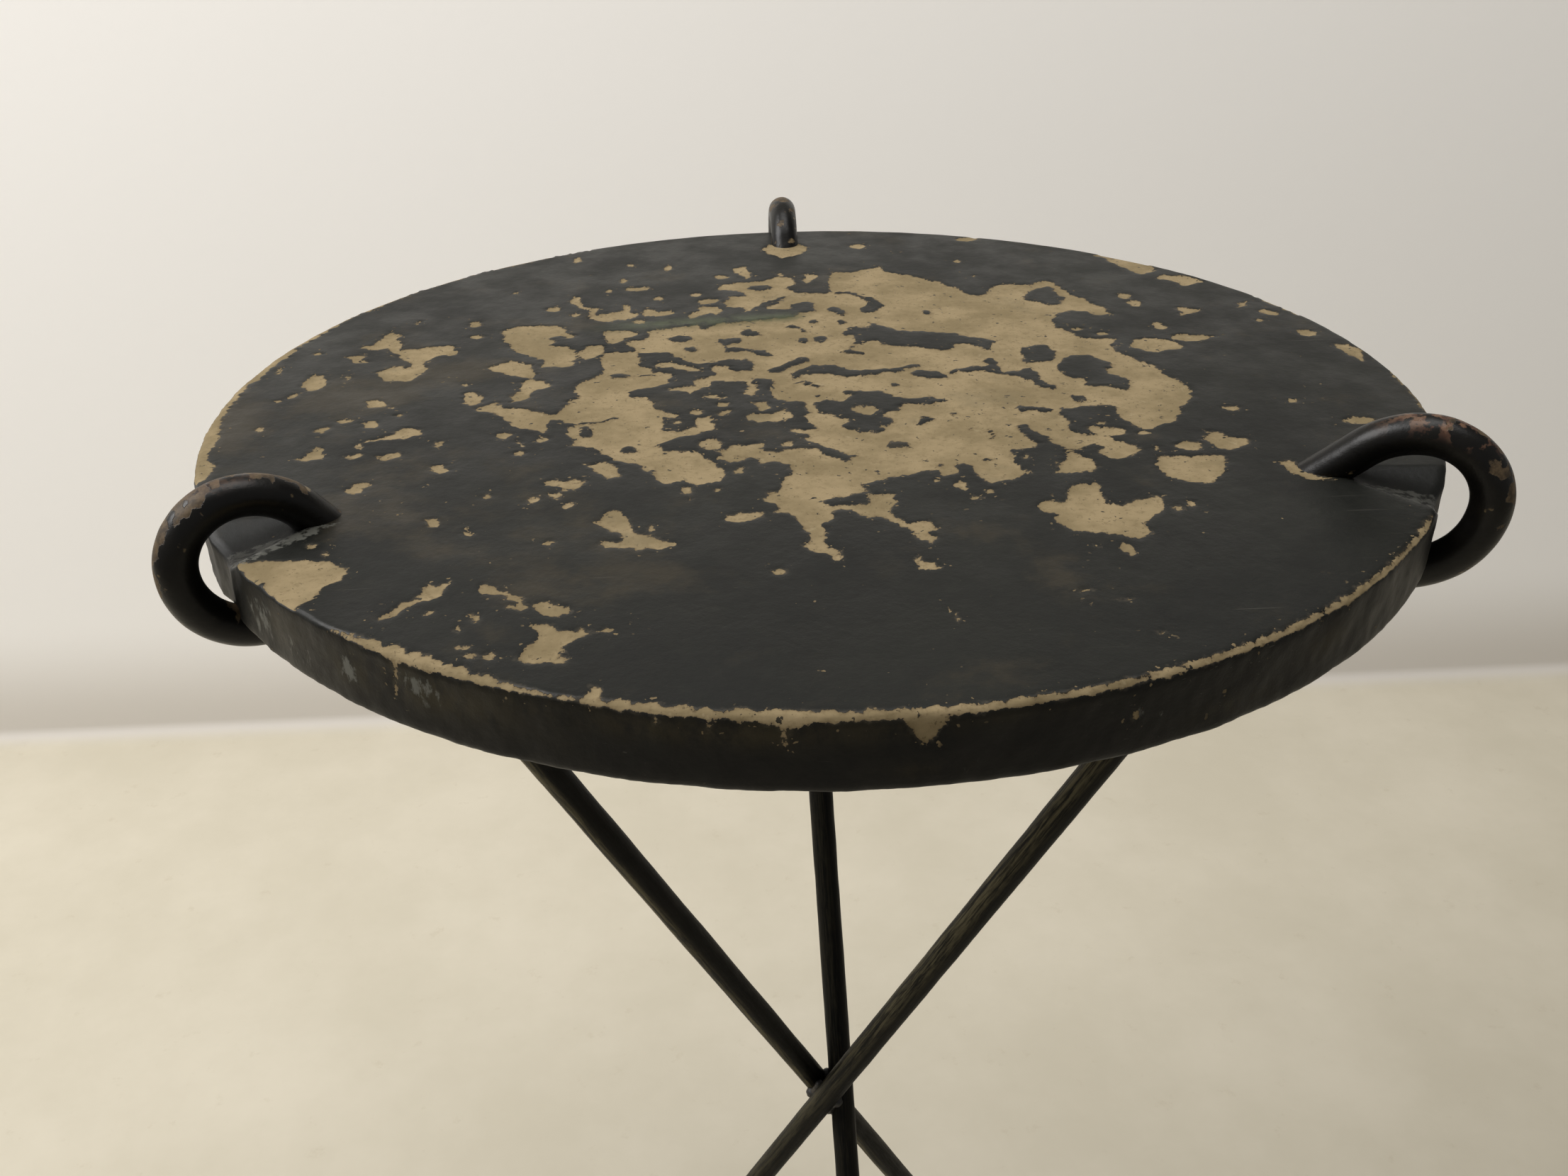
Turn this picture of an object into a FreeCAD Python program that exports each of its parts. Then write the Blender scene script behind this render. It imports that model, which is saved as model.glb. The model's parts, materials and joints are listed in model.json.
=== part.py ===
import FreeCAD, Part
import math
import os

# Round bistro table: a thick painted slab held by three hooked bars, on three
# straight rods that cross and are welded together below it. Units are mm.
# Frame: floor plane at Z = 0, slab axis on Z, one hook at +Y.

# Slab
TOP_Z = 740.0
SLAB_RADIUS = 230.0
SLAB_THICKNESS = 25.4
TOP_EDGE_RADIUS = 2.0
BOTTOM_EDGE_RADIUS = 3.5
FIELD_RADIUS = 170.0

# Worn scoop in the slab under a hook, and shallow upright flute in the rim
SCOOP_STARTS = {"left": 190.0, "right": 188.0}
SCOOP_AXIS_RISE = 29.7
SCOOP_HALF_ANGLE = 37.8
SCOOP_LENGTH = 60.0
FLUTE_RADIUS = 50.0
FLUTE_DEPTH = 1.5

# Hooked bars, each bent a little differently. Each has its azimuth, the reach
# of its centreline from the slab axis, the height of that outermost point from
# the slab top, its upper and crown bend radii, the slope of its tip, and the
# distance from the slab axis at which its rod meets its arm.
HOOKS = {"back": (90.0, 244.5, -6.7, 17.8, 23.0, 55.0, 193.6),
         "left": (211.0, 243.1, -7.4, 21.1, 26.1, 51.4, 176.9),
         "right": (330.7, 244.4, -4.1, 21.4, 29.5, 44.0, 181.3)}
BAR_RADIUS = 7.0
SEAT_GAP = 0.3
HOLE_CLEARANCE = 0.25
TIP_DEPTH = 8.0
ARM_OVERHANG = 14.0

# Straight rods, each passing at ROD_OFFSET from the upright through CROSSING
ROD_RADIUS = 6.35
ROD_OFFSET = 7.72
CROSSING = FreeCAD.Vector(4.7, -0.3, 345.0)

# Welds
HOOK_WELD_RADIUS = 10.5
HOOK_WELD_DROP = 5.5
CROSSING_WELD_RADIUS = 9.0

OVERRUN = 40.0

ARM_HEIGHT = -(SLAB_THICKNESS + BAR_RADIUS + SEAT_GAP)
ROD_RISE = TOP_Z + ARM_HEIGHT - CROSSING.z


def in_hook_plane(azimuth, station, height):
    """Point at a station from the slab axis and a height from the slab top."""
    angle = math.radians(azimuth)
    return FreeCAD.Vector(station * math.cos(angle), station * math.sin(angle), TOP_Z + height)


def hook_plane_normal(azimuth):
    """Normal of the upright plane through the slab axis at this azimuth."""
    angle = math.radians(azimuth)
    return FreeCAD.Vector(math.sin(angle), -math.cos(angle), 0)


def bar_bend(azimuth, radius, centre, bend_radius, start, sweep):
    """Bent bar: part of a torus from angle start, counted up from outward."""
    turn = math.radians(start)
    middle = in_hook_plane(azimuth, centre[0] + bend_radius * math.cos(turn),
                           centre[1] + bend_radius * math.sin(turn))
    along = (in_hook_plane(azimuth, -math.sin(turn), math.cos(turn))
             - in_hook_plane(azimuth, 0, 0))
    section = Part.Face(Part.Wire(Part.makeCircle(radius, middle, along)))
    return section.revolve(in_hook_plane(azimuth, *centre), hook_plane_normal(azimuth), sweep)


def bar_run(azimuth, radius, first, last):
    """Straight round bar between two (station, height) points."""
    start = in_hook_plane(azimuth, *first)
    run = in_hook_plane(azimuth, *last) - start
    return Part.makeCylinder(radius, run.Length, start, run)


def hook_bar(side, radius, extra):
    """Hook: arm under the slab, round the rim, over and down into the top."""
    azimuth, reach, height, upper, crown, slope, rod_station = HOOKS[side]
    lower = height - ARM_HEIGHT
    outer_centre = (reach - lower, height)
    upper_centre = (reach - upper, height)
    crown_centre = (reach - upper, height + upper - crown)
    angle = math.radians(slope)
    tip_start = (crown_centre[0] - crown * math.sin(angle),
                 crown_centre[1] + crown * math.cos(angle))
    drop = tip_start[1] + TIP_DEPTH + extra
    tip_end = (tip_start[0] - drop / math.tan(angle), tip_start[1] - drop)
    pieces = [bar_bend(azimuth, radius, outer_centre, lower, -90, 90),
              bar_bend(azimuth, radius, upper_centre, upper, 0, 90),
              bar_bend(azimuth, radius, crown_centre, crown, 90, slope),
              bar_run(azimuth, radius, tip_start, tip_end)]
    arm = bar_run(azimuth, radius, (rod_station - ARM_OVERHANG, ARM_HEIGHT),
                  (outer_centre[0], ARM_HEIGHT))
    return arm.fuse(pieces).removeSplitter()


def slab_blank():
    """Revolved slab with a rounded rim and its flat field as a face of its own."""
    side = SLAB_RADIUS
    low = TOP_Z - SLAB_THICKNESS
    half = math.sqrt(0.5)
    top_mid = FreeCAD.Vector(side - TOP_EDGE_RADIUS * (1 - half), 0,
                             TOP_Z - TOP_EDGE_RADIUS * (1 - half))
    low_mid = FreeCAD.Vector(side - BOTTOM_EDGE_RADIUS * (1 - half), 0,
                             low + BOTTOM_EDGE_RADIUS * (1 - half))
    centre_top = FreeCAD.Vector(0, 0, TOP_Z)
    field_end = FreeCAD.Vector(FIELD_RADIUS, 0, TOP_Z)
    top_end = FreeCAD.Vector(side - TOP_EDGE_RADIUS, 0, TOP_Z)
    rim_high = FreeCAD.Vector(side, 0, TOP_Z - TOP_EDGE_RADIUS)
    rim_low = FreeCAD.Vector(side, 0, low + BOTTOM_EDGE_RADIUS)
    low_end = FreeCAD.Vector(side - BOTTOM_EDGE_RADIUS, 0, low)
    centre_low = FreeCAD.Vector(0, 0, low)
    outline = Part.Wire([Part.makeLine(centre_top, field_end),
                         Part.makeLine(field_end, top_end),
                         Part.Arc(top_end, top_mid, rim_high).toShape(),
                         Part.makeLine(rim_high, rim_low),
                         Part.Arc(rim_low, low_mid, low_end).toShape(),
                         Part.makeLine(low_end, centre_low),
                         Part.makeLine(centre_low, centre_top)])
    return Part.Face(outline).revolve(FreeCAD.Vector(0, 0, 0), FreeCAD.Vector(0, 0, 1), 360)


def scoop(azimuth, start):
    """Cone that hollows the slab from the hook's tip out to the rim."""
    rise = math.radians(SCOOP_AXIS_RISE)
    apex = in_hook_plane(azimuth, start, 0)
    axis = in_hook_plane(azimuth, math.cos(rise), math.sin(rise)) - in_hook_plane(azimuth, 0, 0)
    mouth = SCOOP_LENGTH * math.tan(math.radians(SCOOP_HALF_ANGLE))
    return Part.makeCone(0, mouth, SCOOP_LENGTH, apex, axis)


def flute(azimuth):
    """Upright cylinder that hollows the rim behind a hook."""
    foot = in_hook_plane(azimuth, SLAB_RADIUS - FLUTE_DEPTH + FLUTE_RADIUS,
                         -SLAB_THICKNESS - OVERRUN)
    return Part.makeCylinder(FLUTE_RADIUS, SLAB_THICKNESS + 2 * OVERRUN, foot)


def make_slab():
    """Slab with its scoops and flutes, and a notch and a blind hole at each hook."""
    slab = slab_blank()
    for side, start in SCOOP_STARTS.items():
        slab = slab.cut(scoop(HOOKS[side][0], start)).cut(flute(HOOKS[side][0]))
    for side in HOOKS:
        slab = slab.cut(hook_bar(side, BAR_RADIUS + HOLE_CLEARANCE, HOLE_CLEARANCE))
    return slab


def rod_axis(side):
    """Point of a rod's axis at the crossing, and its rise per unit of height."""
    head = in_hook_plane(HOOKS[side][0], HOOKS[side][-1], ARM_HEIGHT)
    away = head - CROSSING
    away.z = 0
    lean = math.atan2(away.y, away.x) + math.asin(ROD_OFFSET / away.Length)
    waist = CROSSING + FreeCAD.Vector(math.sin(lean), -math.cos(lean), 0) * ROD_OFFSET
    return waist, (head - waist) * (1 / ROD_RISE)


def make_leg(side, hook):
    """Straight rod, cut flush with the floor and coped under the hook's arm."""
    waist, up = rod_axis(side)
    foot = waist - up * (CROSSING.z + OVERRUN)
    head = waist + up * ROD_RISE
    rod = Part.makeCylinder(ROD_RADIUS, (head - foot).Length, foot, up)
    span = 2 * SLAB_RADIUS
    below_floor = Part.makeBox(2 * span, 2 * span, 2 * OVERRUN,
                               FreeCAD.Vector(-span, -span, -2 * OVERRUN))
    return rod.cut(below_floor).cut(hook)


def make_hook_weld(side, leg, hook):
    """Bead round the joint between a leg and its hook's arm."""
    waist, up = rod_axis(side)
    centre = waist + up * (ROD_RISE - HOOK_WELD_DROP)
    return Part.makeSphere(HOOK_WELD_RADIUS, centre).cut(hook).cut(leg)


def rod_contact(first, second):
    """Point midway between two rod axes where they pass closest."""
    waist_a, up_a = rod_axis(first)
    waist_b, up_b = rod_axis(second)
    across = up_a.cross(up_b)
    across.normalize()
    apart = waist_b - waist_a
    along_a = apart.cross(up_b).dot(across) / up_a.cross(up_b).dot(across)
    near = waist_a + up_a * along_a
    return near + across * (apart.dot(across) / 2)


def make_crossing_weld(legs):
    """Weld round the crossing: a bead at each place where two rods pass."""
    sides = list(HOOKS)
    beads = []
    for number in range(len(sides)):
        middle = rod_contact(sides[number - 1], sides[number])
        beads.append(Part.makeSphere(CROSSING_WELD_RADIUS, middle))
    return beads[0].fuse(beads[1:]).cut(list(legs.values()))


def main():
    solids = {"table_top": make_slab()}
    legs = {}
    for side in HOOKS:
        hook = hook_bar(side, BAR_RADIUS, 0)
        legs[side] = make_leg(side, hook)
        solids["ring_hook_" + side] = hook
        solids["leg_" + side] = legs[side]
        solids["hook_weld_" + side] = make_hook_weld(side, legs[side], hook)
    solids["crossing_weld"] = make_crossing_weld(legs)
    os.makedirs("parts", exist_ok=True)
    for name, shape in solids.items():
        shape.exportStep("parts/" + name + ".step")
        print(name, len(shape.Solids), shape.isValid(), round(shape.Volume))


main()
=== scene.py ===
import bpy
import json
import math
import numpy as np
from mathutils import Matrix, Vector


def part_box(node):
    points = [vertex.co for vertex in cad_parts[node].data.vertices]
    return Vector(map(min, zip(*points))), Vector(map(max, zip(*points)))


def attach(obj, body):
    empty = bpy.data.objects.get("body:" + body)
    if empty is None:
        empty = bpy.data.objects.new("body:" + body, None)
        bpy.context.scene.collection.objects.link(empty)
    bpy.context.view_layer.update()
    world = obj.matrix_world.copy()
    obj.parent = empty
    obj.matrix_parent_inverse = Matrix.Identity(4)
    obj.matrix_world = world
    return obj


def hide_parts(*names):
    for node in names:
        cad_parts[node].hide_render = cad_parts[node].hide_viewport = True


# Looks of the round bistro table: a thick painted slab with chipped paint, held
# by three hooked iron bars on three straight rods. Lengths here are in mm until
# a mesh is made, and x, y, z are those of the row frame.

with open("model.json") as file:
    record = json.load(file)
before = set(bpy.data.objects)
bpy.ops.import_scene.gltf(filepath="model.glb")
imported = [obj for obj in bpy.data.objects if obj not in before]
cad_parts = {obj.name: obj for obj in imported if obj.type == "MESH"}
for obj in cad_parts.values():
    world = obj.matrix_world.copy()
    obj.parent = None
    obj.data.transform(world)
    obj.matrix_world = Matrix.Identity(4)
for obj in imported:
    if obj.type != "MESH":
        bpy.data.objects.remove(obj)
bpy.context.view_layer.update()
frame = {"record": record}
record = frame["record"]
MM = 0.001

SLAB_LOW, SLAB_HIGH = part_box("table_top")
RADIUS = (SLAB_HIGH.x - SLAB_LOW.x) / 2 / MM
TOP_Z = SLAB_HIGH.z / MM
THICKNESS = (SLAB_HIGH.z - SLAB_LOW.z) / MM

# Each hook's azimuth, reach and height of its outermost centre point, upper and
# crown bend radii, slope of its tip, and station of its rod, as in the CAD part
HOOKS = {"back": (90.0, 244.5, -6.7, 17.8, 23.0, 55.0, 193.6),
         "left": (211.0, 243.1, -7.4, 21.1, 26.1, 51.4, 176.9),
         "right": (330.7, 244.4, -4.1, 21.4, 29.5, 44.0, 181.3)}
BAR_RADIUS = 7.0
ROD_RADIUS = 6.35
SEAT_GAP = 0.3
ARM_HEIGHT = -(THICKNESS + BAR_RADIUS + SEAT_GAP)
ARM_OVERHANG = 14.0
TIP_DEPTH = 8.0
SCOOP_STARTS = {"left": 190.0, "right": 188.0}
SCOOP_AXIS_RISE = 29.7
SCOOP_HALF_ANGLE = 37.8
FLUTE_RADIUS = 50.0
FLUTE_DEPTH = 1.5
TOP_EDGE_RADIUS = 2.0
LOW_EDGE_RADIUS = 3.5

# Mesh cells across the top, rows down the rim, and steps round each edge
GRID_CELLS = 264
RIM_ROWS = 9
CURVE_STEPS = 4
TUBE_STEP = 1.0
BEND_STEP = 2.5
HOOK_SEED = 100
ROD_SEED = 200

# Depth of the chips, and the distance past which an outline has no effect
CHIP_DEPTH = 0.45
FIELD_LIMIT = 6.0

# Bare patches where the dark paint has come off, as outlines on the top
PATCHES = [
    [(-34, 110), (-30, 118), (-22, 119), (-26, 128), (-35, 129), (-35, 136), (-28, 140), (-13, 141),
     (-7, 147), (0, 146), (1, 136), (-4, 128), (0, 122), (12, 119), (17, 121), (17, 140), (20, 152),
     (32, 152), (40, 157), (44, 160), (46, 151), (52, 145), (57, 143), (62, 137), (69, 131), (72, 125),
     (77, 118), (80, 110), (85, 107), (90, 112), (92, 121), (100, 124), (112, 122), (118, 127), (122, 126),
     (124, 116), (127, 104), (131, 98), (133, 90), (137, 86), (137, 75), (132, 73), (127, 80), (121, 82),
     (115, 79), (110, 70), (110, 60), (115, 52), (118, 45), (125, 44), (131, 43), (128, 35), (127, 28),
     (131, 22), (134, 15), (139, 9), (139, 0), (143, -8), (145, -18), (141, -29), (135, -36), (131, -45),
     (127, -50), (121, -52), (118, -57), (113, -50), (110, -40), (112, -33), (108, -29), (100, -31),
     (91, -32), (89, -37), (91, -45), (89, -51), (93, -57), (101, -59), (104, -65), (109, -68), (110, -73),
     (106, -78), (99, -79), (95, -75), (98, -69), (94, -64), (92, -68), (90, -70), (84, -69), (81, -64),
     (80, -58), (76, -52), (75, -47), (71, -47), (72, -55), (73, -60), (76, -64), (73, -68), (65, -68),
     (64, -78), (66, -86), (69, -89), (64, -90), (61, -93), (53, -95), (50, -91), (48, -80), (44, -78),
     (43, -87), (38, -88), (36, -83), (28, -86), (20, -87), (17, -91), (9, -92), (11, -98), (3, -102),
     (-4, -103), (-3, -108), (11, -108), (10, -101), (19, -101), (20, -107), (17, -111), (17, -117),
     (22, -123), (29, -122), (30, -128), (26, -130), (30, -134), (27, -138), (22, -132), (21, -126),
     (16, -121), (12, -117), (9, -118), (4, -112), (-2, -112), (-2, -116), (-4, -121), (-6, -120),
     (-5, -131), (-7, -134), (-2, -139), (-2, -148), (-6, -142), (-10, -139), (-13, -136), (-10, -132),
     (-11, -126), (-13, -119), (-16, -112), (-21, -112), (-19, -107), (-24, -102), (-23, -97), (-18, -95),
     (-17, -88), (-13, -80), (-14, -74), (-19, -71), (-24, -73), (-25, -68), (-30, -70), (-39, -68),
     (-37, -64), (-39, -61), (-33, -56), (-22, -54), (-23, -60), (-17, -63), (-11, -60), (-4, -61),
     (0, -67), (7, -73), (10, -69), (4, -64), (-1, -58), (-6, -55), (-6, -48), (-12, -45), (-11, -43),
     (-1, -44), (1, -46), (-4, -38), (-6, -30), (-3, -28), (-5, -22), (-5, -16), (-9, -15), (-15, -13),
     (-17, -4), (-18, -1), (-15, 4), (-16, 8), (-22, 12), (-24, 8), (-22, 4), (-22, -3), (-24, -8),
     (-28, -6), (-26, 0), (-26, 8), (-40, 10), (-40, 4), (-46, 0), (-49, -4), (-51, 0), (-57, 1), (-56, 4),
     (-51, 4), (-46, 6), (-47, 12), (-41, 14), (-38, 16), (-39, 22), (-38, 27), (-34, 26), (-31, 21),
     (-24, 20), (-22, 27), (-25, 34), (-33, 34), (-39, 31), (-46, 30), (-50, 34), (-55, 40), (-57, 45),
     (-66, 45), (-71, 46), (-73, 53), (-76, 58), (-73, 62), (-69, 61), (-66, 67), (-68, 73), (-56, 77),
     (-45, 79), (-43, 72), (-37, 80), (-25, 82), (-5, 86), (2, 92), (8, 93), (7, 100), (8, 106), (3, 107),
     (-3, 104), (-3, 98), (-14, 98), (-13, 104), (-6, 108), (-16, 108), (-18, 103), (-21, 97), (-25, 95),
     (-24, 102), (-32, 104)],
    [(-84, 47), (-72, 47), (-69, 40), (-69, 30), (-66, 27), (-63, 22), (-57, 20), (-55, 16), (-60, 13),
     (-56, 9), (-62, 5), (-68, 4), (-74, 0), (-72, -4), (-65, -6), (-62, -12), (-62, -18), (-58, -21),
     (-52, -25), (-53, -28), (-59, -27), (-58, -34), (-59, -40), (-52, -41), (-46, -36), (-46, -28),
     (-40, -27), (-40, -34), (-38, -40), (-46, -44), (-55, -48), (-60, -54), (-57, -58), (-46, -60),
     (-43, -66), (-39, -70), (-36, -80), (-38, -86), (-46, -87), (-50, -84), (-57, -86), (-61, -79),
     (-60, -72), (-68, -68), (-74, -65), (-78, -60), (-84, -52), (-91, -51), (-90, -45), (-94, -40),
     (-93, -33), (-90, -31), (-98, -26), (-101, -24), (-98, -17), (-95, -8), (-91, -4), (-94, 4), (-93, 12),
     (-87, 18), (-83, 22), (-84, 30), (-86, 38)],
    [(-130, -10), (-122, -6), (-121, -11), (-115, -12), (-110, -14), (-105, -17), (-100, -21), (-101, -29),
     (-101, -38), (-105, -35), (-112, -32), (-117, -25), (-119, -20), (-125, -15), (-130, -13)],
    [(-63, 33), (-57, 32), (-52, 29), (-46, 25), (-43, 21), (-48, 21), (-54, 26), (-62, 29)],
    [(-43, -5), (-38, -6), (-34, -9), (-37, -10), (-43, -8)],
    [(-38, -24), (-33, -21), (-32, -24), (-38, -27)],
    [(-25, -15), (-20, -15), (-18, -18), (-18, -21), (-21, -24), (-23, -20)],
    [(-28, -28), (-25, -27), (-17, -27), (-12, -22), (-10, -28), (-9, -31), (-15, -34), (-22, -35),
     (-27, -32)],
    [(-45, -51), (-40, -48), (-37, -51), (-37, -57), (-42, -59), (-45, -56)],
    [(-33, -79), (-29, -74), (-30, -81)],
    [(-95, 50), (-91, 57), (-86, 58), (-84, 50), (-87, 44), (-91, 39), (-95, 44)],
    [(-87, 72), (-84, 76), (-74, 74), (-71, 70), (-76, 64), (-80, 58), (-84, 60), (-85, 66)],
    [(-104, 128), (-100, 124), (-98, 112), (-90, 106), (-92, 98), (-88, 98), (-84, 100), (-79, 104),
     (-80, 112), (-76, 110), (-76, 102), (-72, 96), (-74, 92), (-80, 90), (-86, 88), (-93, 92), (-95, 98),
     (-94, 104), (-98, 108), (-104, 116)],
    [(-70, 104), (-66, 103), (-62, 99), (-57, 101), (-56, 95), (-64, 93), (-70, 95)],
    [(-50, 94), (-48, 98), (-43, 98), (-46, 103), (-42, 106), (-36, 104), (-34, 99), (-36, 92), (-40, 96),
     (-44, 92), (-48, 88)],
    [(-45, 113), (-40, 117), (-36, 115), (-36, 110), (-44, 109)],
    [(-27, 165), (-22, 166), (-20, 158), (-19, 148), (-22, 146), (-24, 152), (-28, 158)],
    [(5, 150), (12, 150), (13, 144), (9, 140), (6, 134), (5, 140), (7, 146)],
    [(-131, 80), (-125, 85), (-116, 86), (-104, 84), (-103, 75), (-98, 70), (-99, 66), (-104, 71),
     (-110, 69), (-106, 64), (-109, 60), (-100, 56), (-97, 49), (-96, 40), (-97, 32), (-109, 32),
     (-109, 40), (-115, 46), (-122, 52), (-126, 61), (-129, 69)],
    [(-132, 35), (-122, 41), (-114, 35), (-111, 24), (-112, 19), (-104, 14), (-104, 9), (-110, 6),
     (-111, -4), (-117, -6), (-119, 2), (-115, 5), (-116, 15), (-113, 20), (-122, 25), (-129, 30)],
    [(-137, 6), (-134, 8), (-130, 3), (-129, -4), (-132, -8), (-136, -4)],
    [(-180, 86), (-174, 76), (-176, 74), (-172, 67), (-171, 60), (-164, 59), (-161, 62), (-150, 62),
     (-147, 56), (-147, 49), (-152, 51), (-157, 47), (-160, 42), (-156, 36), (-157, 30), (-160, 22),
     (-170, 22), (-177, 32), (-174, 36), (-169, 39), (-163, 37), (-164, 44), (-169, 47), (-170, 52),
     (-174, 56), (-178, 62), (-180, 61), (-189, 62), (-190, 66), (-184, 66), (-183, 72)],
    [(-193, 52), (-185, 57), (-185, 49), (-182, 44), (-188, 46)],
    [(-202, 34), (-197, 30), (-194, 22), (-194, 16), (-200, 14), (-204, 22)],
    [(-202, 12), (-202, 9), (-206, 6), (-206, 10)],
    [(-174, 0), (-171, 2), (-167, 0), (-162, -9), (-166, -6), (-172, -6)],
    [(-171, -22), (-167, -20), (-164, -24), (-165, -27), (-169, -27)],
    [(-188, -28), (-184, -24), (-182, -25), (-183, -29), (-187, -30)],
    [(-168, -42), (-163, -37), (-158, -34), (-155, -28), (-152, -27), (-148, -30), (-147, -34), (-151, -38),
     (-160, -39)],
    [(-183, -43), (-180, -44), (-178, -53), (-184, -56), (-188, -54), (-185, -50)],
    [(-166, -45), (-165, -54), (-168, -55), (-172, -53), (-168, -51)],
    [(-162, -53), (-155, -53), (-152, -51), (-152, -56), (-156, -57)],
    [(-141, -42), (-138, -42), (-139, -50)],
    [(-113, -42), (-110, -44), (-108, -50), (-112, -45)],
    [(-138, -64), (-134, -64), (-132, -68), (-135, -71), (-138, -68)],
    [(-187, -132), (-180, -131), (-175, -132), (-165, -132), (-159, -133), (-154, -137), (-151, -141),
     (-152, -146), (-156, -149), (-157, -155), (-160, -160), (-161, -165), (-166, -160), (-172, -152),
     (-175, -147), (-180, -144), (-185, -136)],
    [(-133, -106), (-131, -106), (-128, -111), (-129, -113), (-133, -110)],
    [(-119, -113), (-116, -119), (-118, -120), (-120, -117)],
    [(-127, -151), (-122, -152), (-119, -150), (-119, -154), (-121, -159), (-126, -161), (-129, -165),
     (-132, -169), (-136, -172), (-138, -169), (-134, -167), (-132, -162), (-129, -161), (-126, -156)],
    [(-111, -153), (-107, -153), (-102, -157), (-98, -161), (-94, -166), (-90, -164), (-85, -167),
     (-81, -172), (-86, -173), (-90, -171), (-94, -168), (-101, -167), (-101, -165), (-97, -166),
     (-100, -162), (-105, -158), (-109, -159)],
    [(-92, -177), (-87, -177), (-84, -182), (-77, -180), (-76, -184), (-80, -187), (-82, -190), (-83, -197),
     (-90, -198), (-94, -196), (-94, -192), (-90, -187), (-90, -182)],
    [(-111, -170), (-107, -170), (-107, -173), (-109, -175)],
    [(-113, -176), (-111, -179), (-111, -181), (-114, -179)],
    [(-76, -106), (-72, -105), (-68, -112), (-67, -119), (-62, -124), (-59, -127), (-51, -131), (-57, -134),
     (-62, -132), (-64, -136), (-66, -132), (-74, -132), (-76, -130), (-75, -127), (-69, -127), (-69, -125),
     (-72, -121), (-76, -116), (-80, -114), (-77, -113)],
    [(-97, -80), (-94, -78), (-91, -83), (-84, -82), (-84, -85), (-90, -89), (-93, -85), (-97, -83)],
    [(-96, -90), (-91, -91), (-91, -95), (-95, -94)],
    [(-85, -68), (-78, -66), (-73, -72), (-72, -79), (-76, -80), (-80, -75)],
    [(-37, -113), (-33, -111), (-24, -111), (-25, -115), (-32, -118), (-37, -117)],
    [(-74, -211), (-72, -211), (-71, -215), (-73, -217), (-75, -215)],
    [(20, -151), (21, -145), (22, -149), (28, -152), (25, -155), (20, -154)],
    [(25, -172), (27, -180), (28, -187), (26, -180)],
    [(135, 33), (138, 40), (145, 43), (152, 40), (156, 33), (157, 29), (150, 28), (145, 25), (139, 27)],
    [(156, 45), (162, 46), (170, 43), (174, 42), (170, 38), (160, 37), (155, 40)],
    [(97, -50), (104, -52), (109, -54), (108, -59), (101, -59), (96, -54)],
    [(135, -65), (138, -58), (142, -60), (145, -65), (150, -65), (149, -72), (140, -75), (136, -71)],
    [(111, -84), (117, -78), (124, -80), (130, -79), (137, -79), (137, -84), (134, -90), (131, -96),
     (126, -102), (119, -101), (113, -95), (112, -89)],
    [(65, -114), (68, -110), (74, -112), (77, -105), (80, -99), (88, -99), (88, -106), (87, -113),
     (92, -116), (98, -112), (105, -110), (106, -116), (102, -123), (95, -130), (96, -137), (91, -139),
     (84, -136), (78, -134), (71, -132), (68, -125), (70, -121), (66, -119)],
    [(76, -90), (79, -81), (83, -78), (83, -71), (86, -70), (88, -76), (91, -79), (92, -85), (89, -90),
     (83, -89)],
    [(83, -144), (87, -143), (88, -149), (85, -151)],
    [(40, -96), (43, -92), (45, -96), (43, -101)],
    [(151, 167), (160, 168), (176, 148), (176, 140), (174, 136), (167, 132), (163, 138), (162, 144),
     (158, 151), (157, 160), (155, 164)],
    [(89, 204), (95, 207), (101, 206), (99, 200), (94, 199), (89, 201)],
    [(173, 127), (177, 131), (181, 129), (186, 128), (190, 124), (192, 118), (188, 115), (181, 111),
     (180, 118), (177, 122), (173, 124)],
    [(168, 81), (174, 81), (178, 76), (172, 72), (167, 70), (169, 75)],
    [(196, 79), (199, 84), (203, 88), (201, 82), (198, 79)],
    [(202, 73), (206, 75), (210, 71), (211, 67), (207, 67), (204, 70)],
    [(207, 99), (212, 92), (216, 84), (221, 70), (222, 64), (217, 66), (215, 74), (212, 82), (209, 90)],
    [(218, 28), (224, 26), (228, 18), (222, 5), (220, 15)],
    [(-215, 62), (-218, 54), (-221, 45), (-222.5, 30), (-226, 20), (-227.5, 0), (-224, -20), (-221, -35),
     (-221, -50), (-215, -57), (-215, -70), (-220, -72), (-236, -60), (-240, 0), (-236, 60), (-222, 70)],
    [(-12, 198), (-8, 204), (8, 204), (12, 198), (8, 186), (-2, 180), (-10, 188)],
    [(154, -88), (158, -86), (160, -92), (163, -100), (168, -104), (160, -102), (155, -97)],
]

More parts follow.
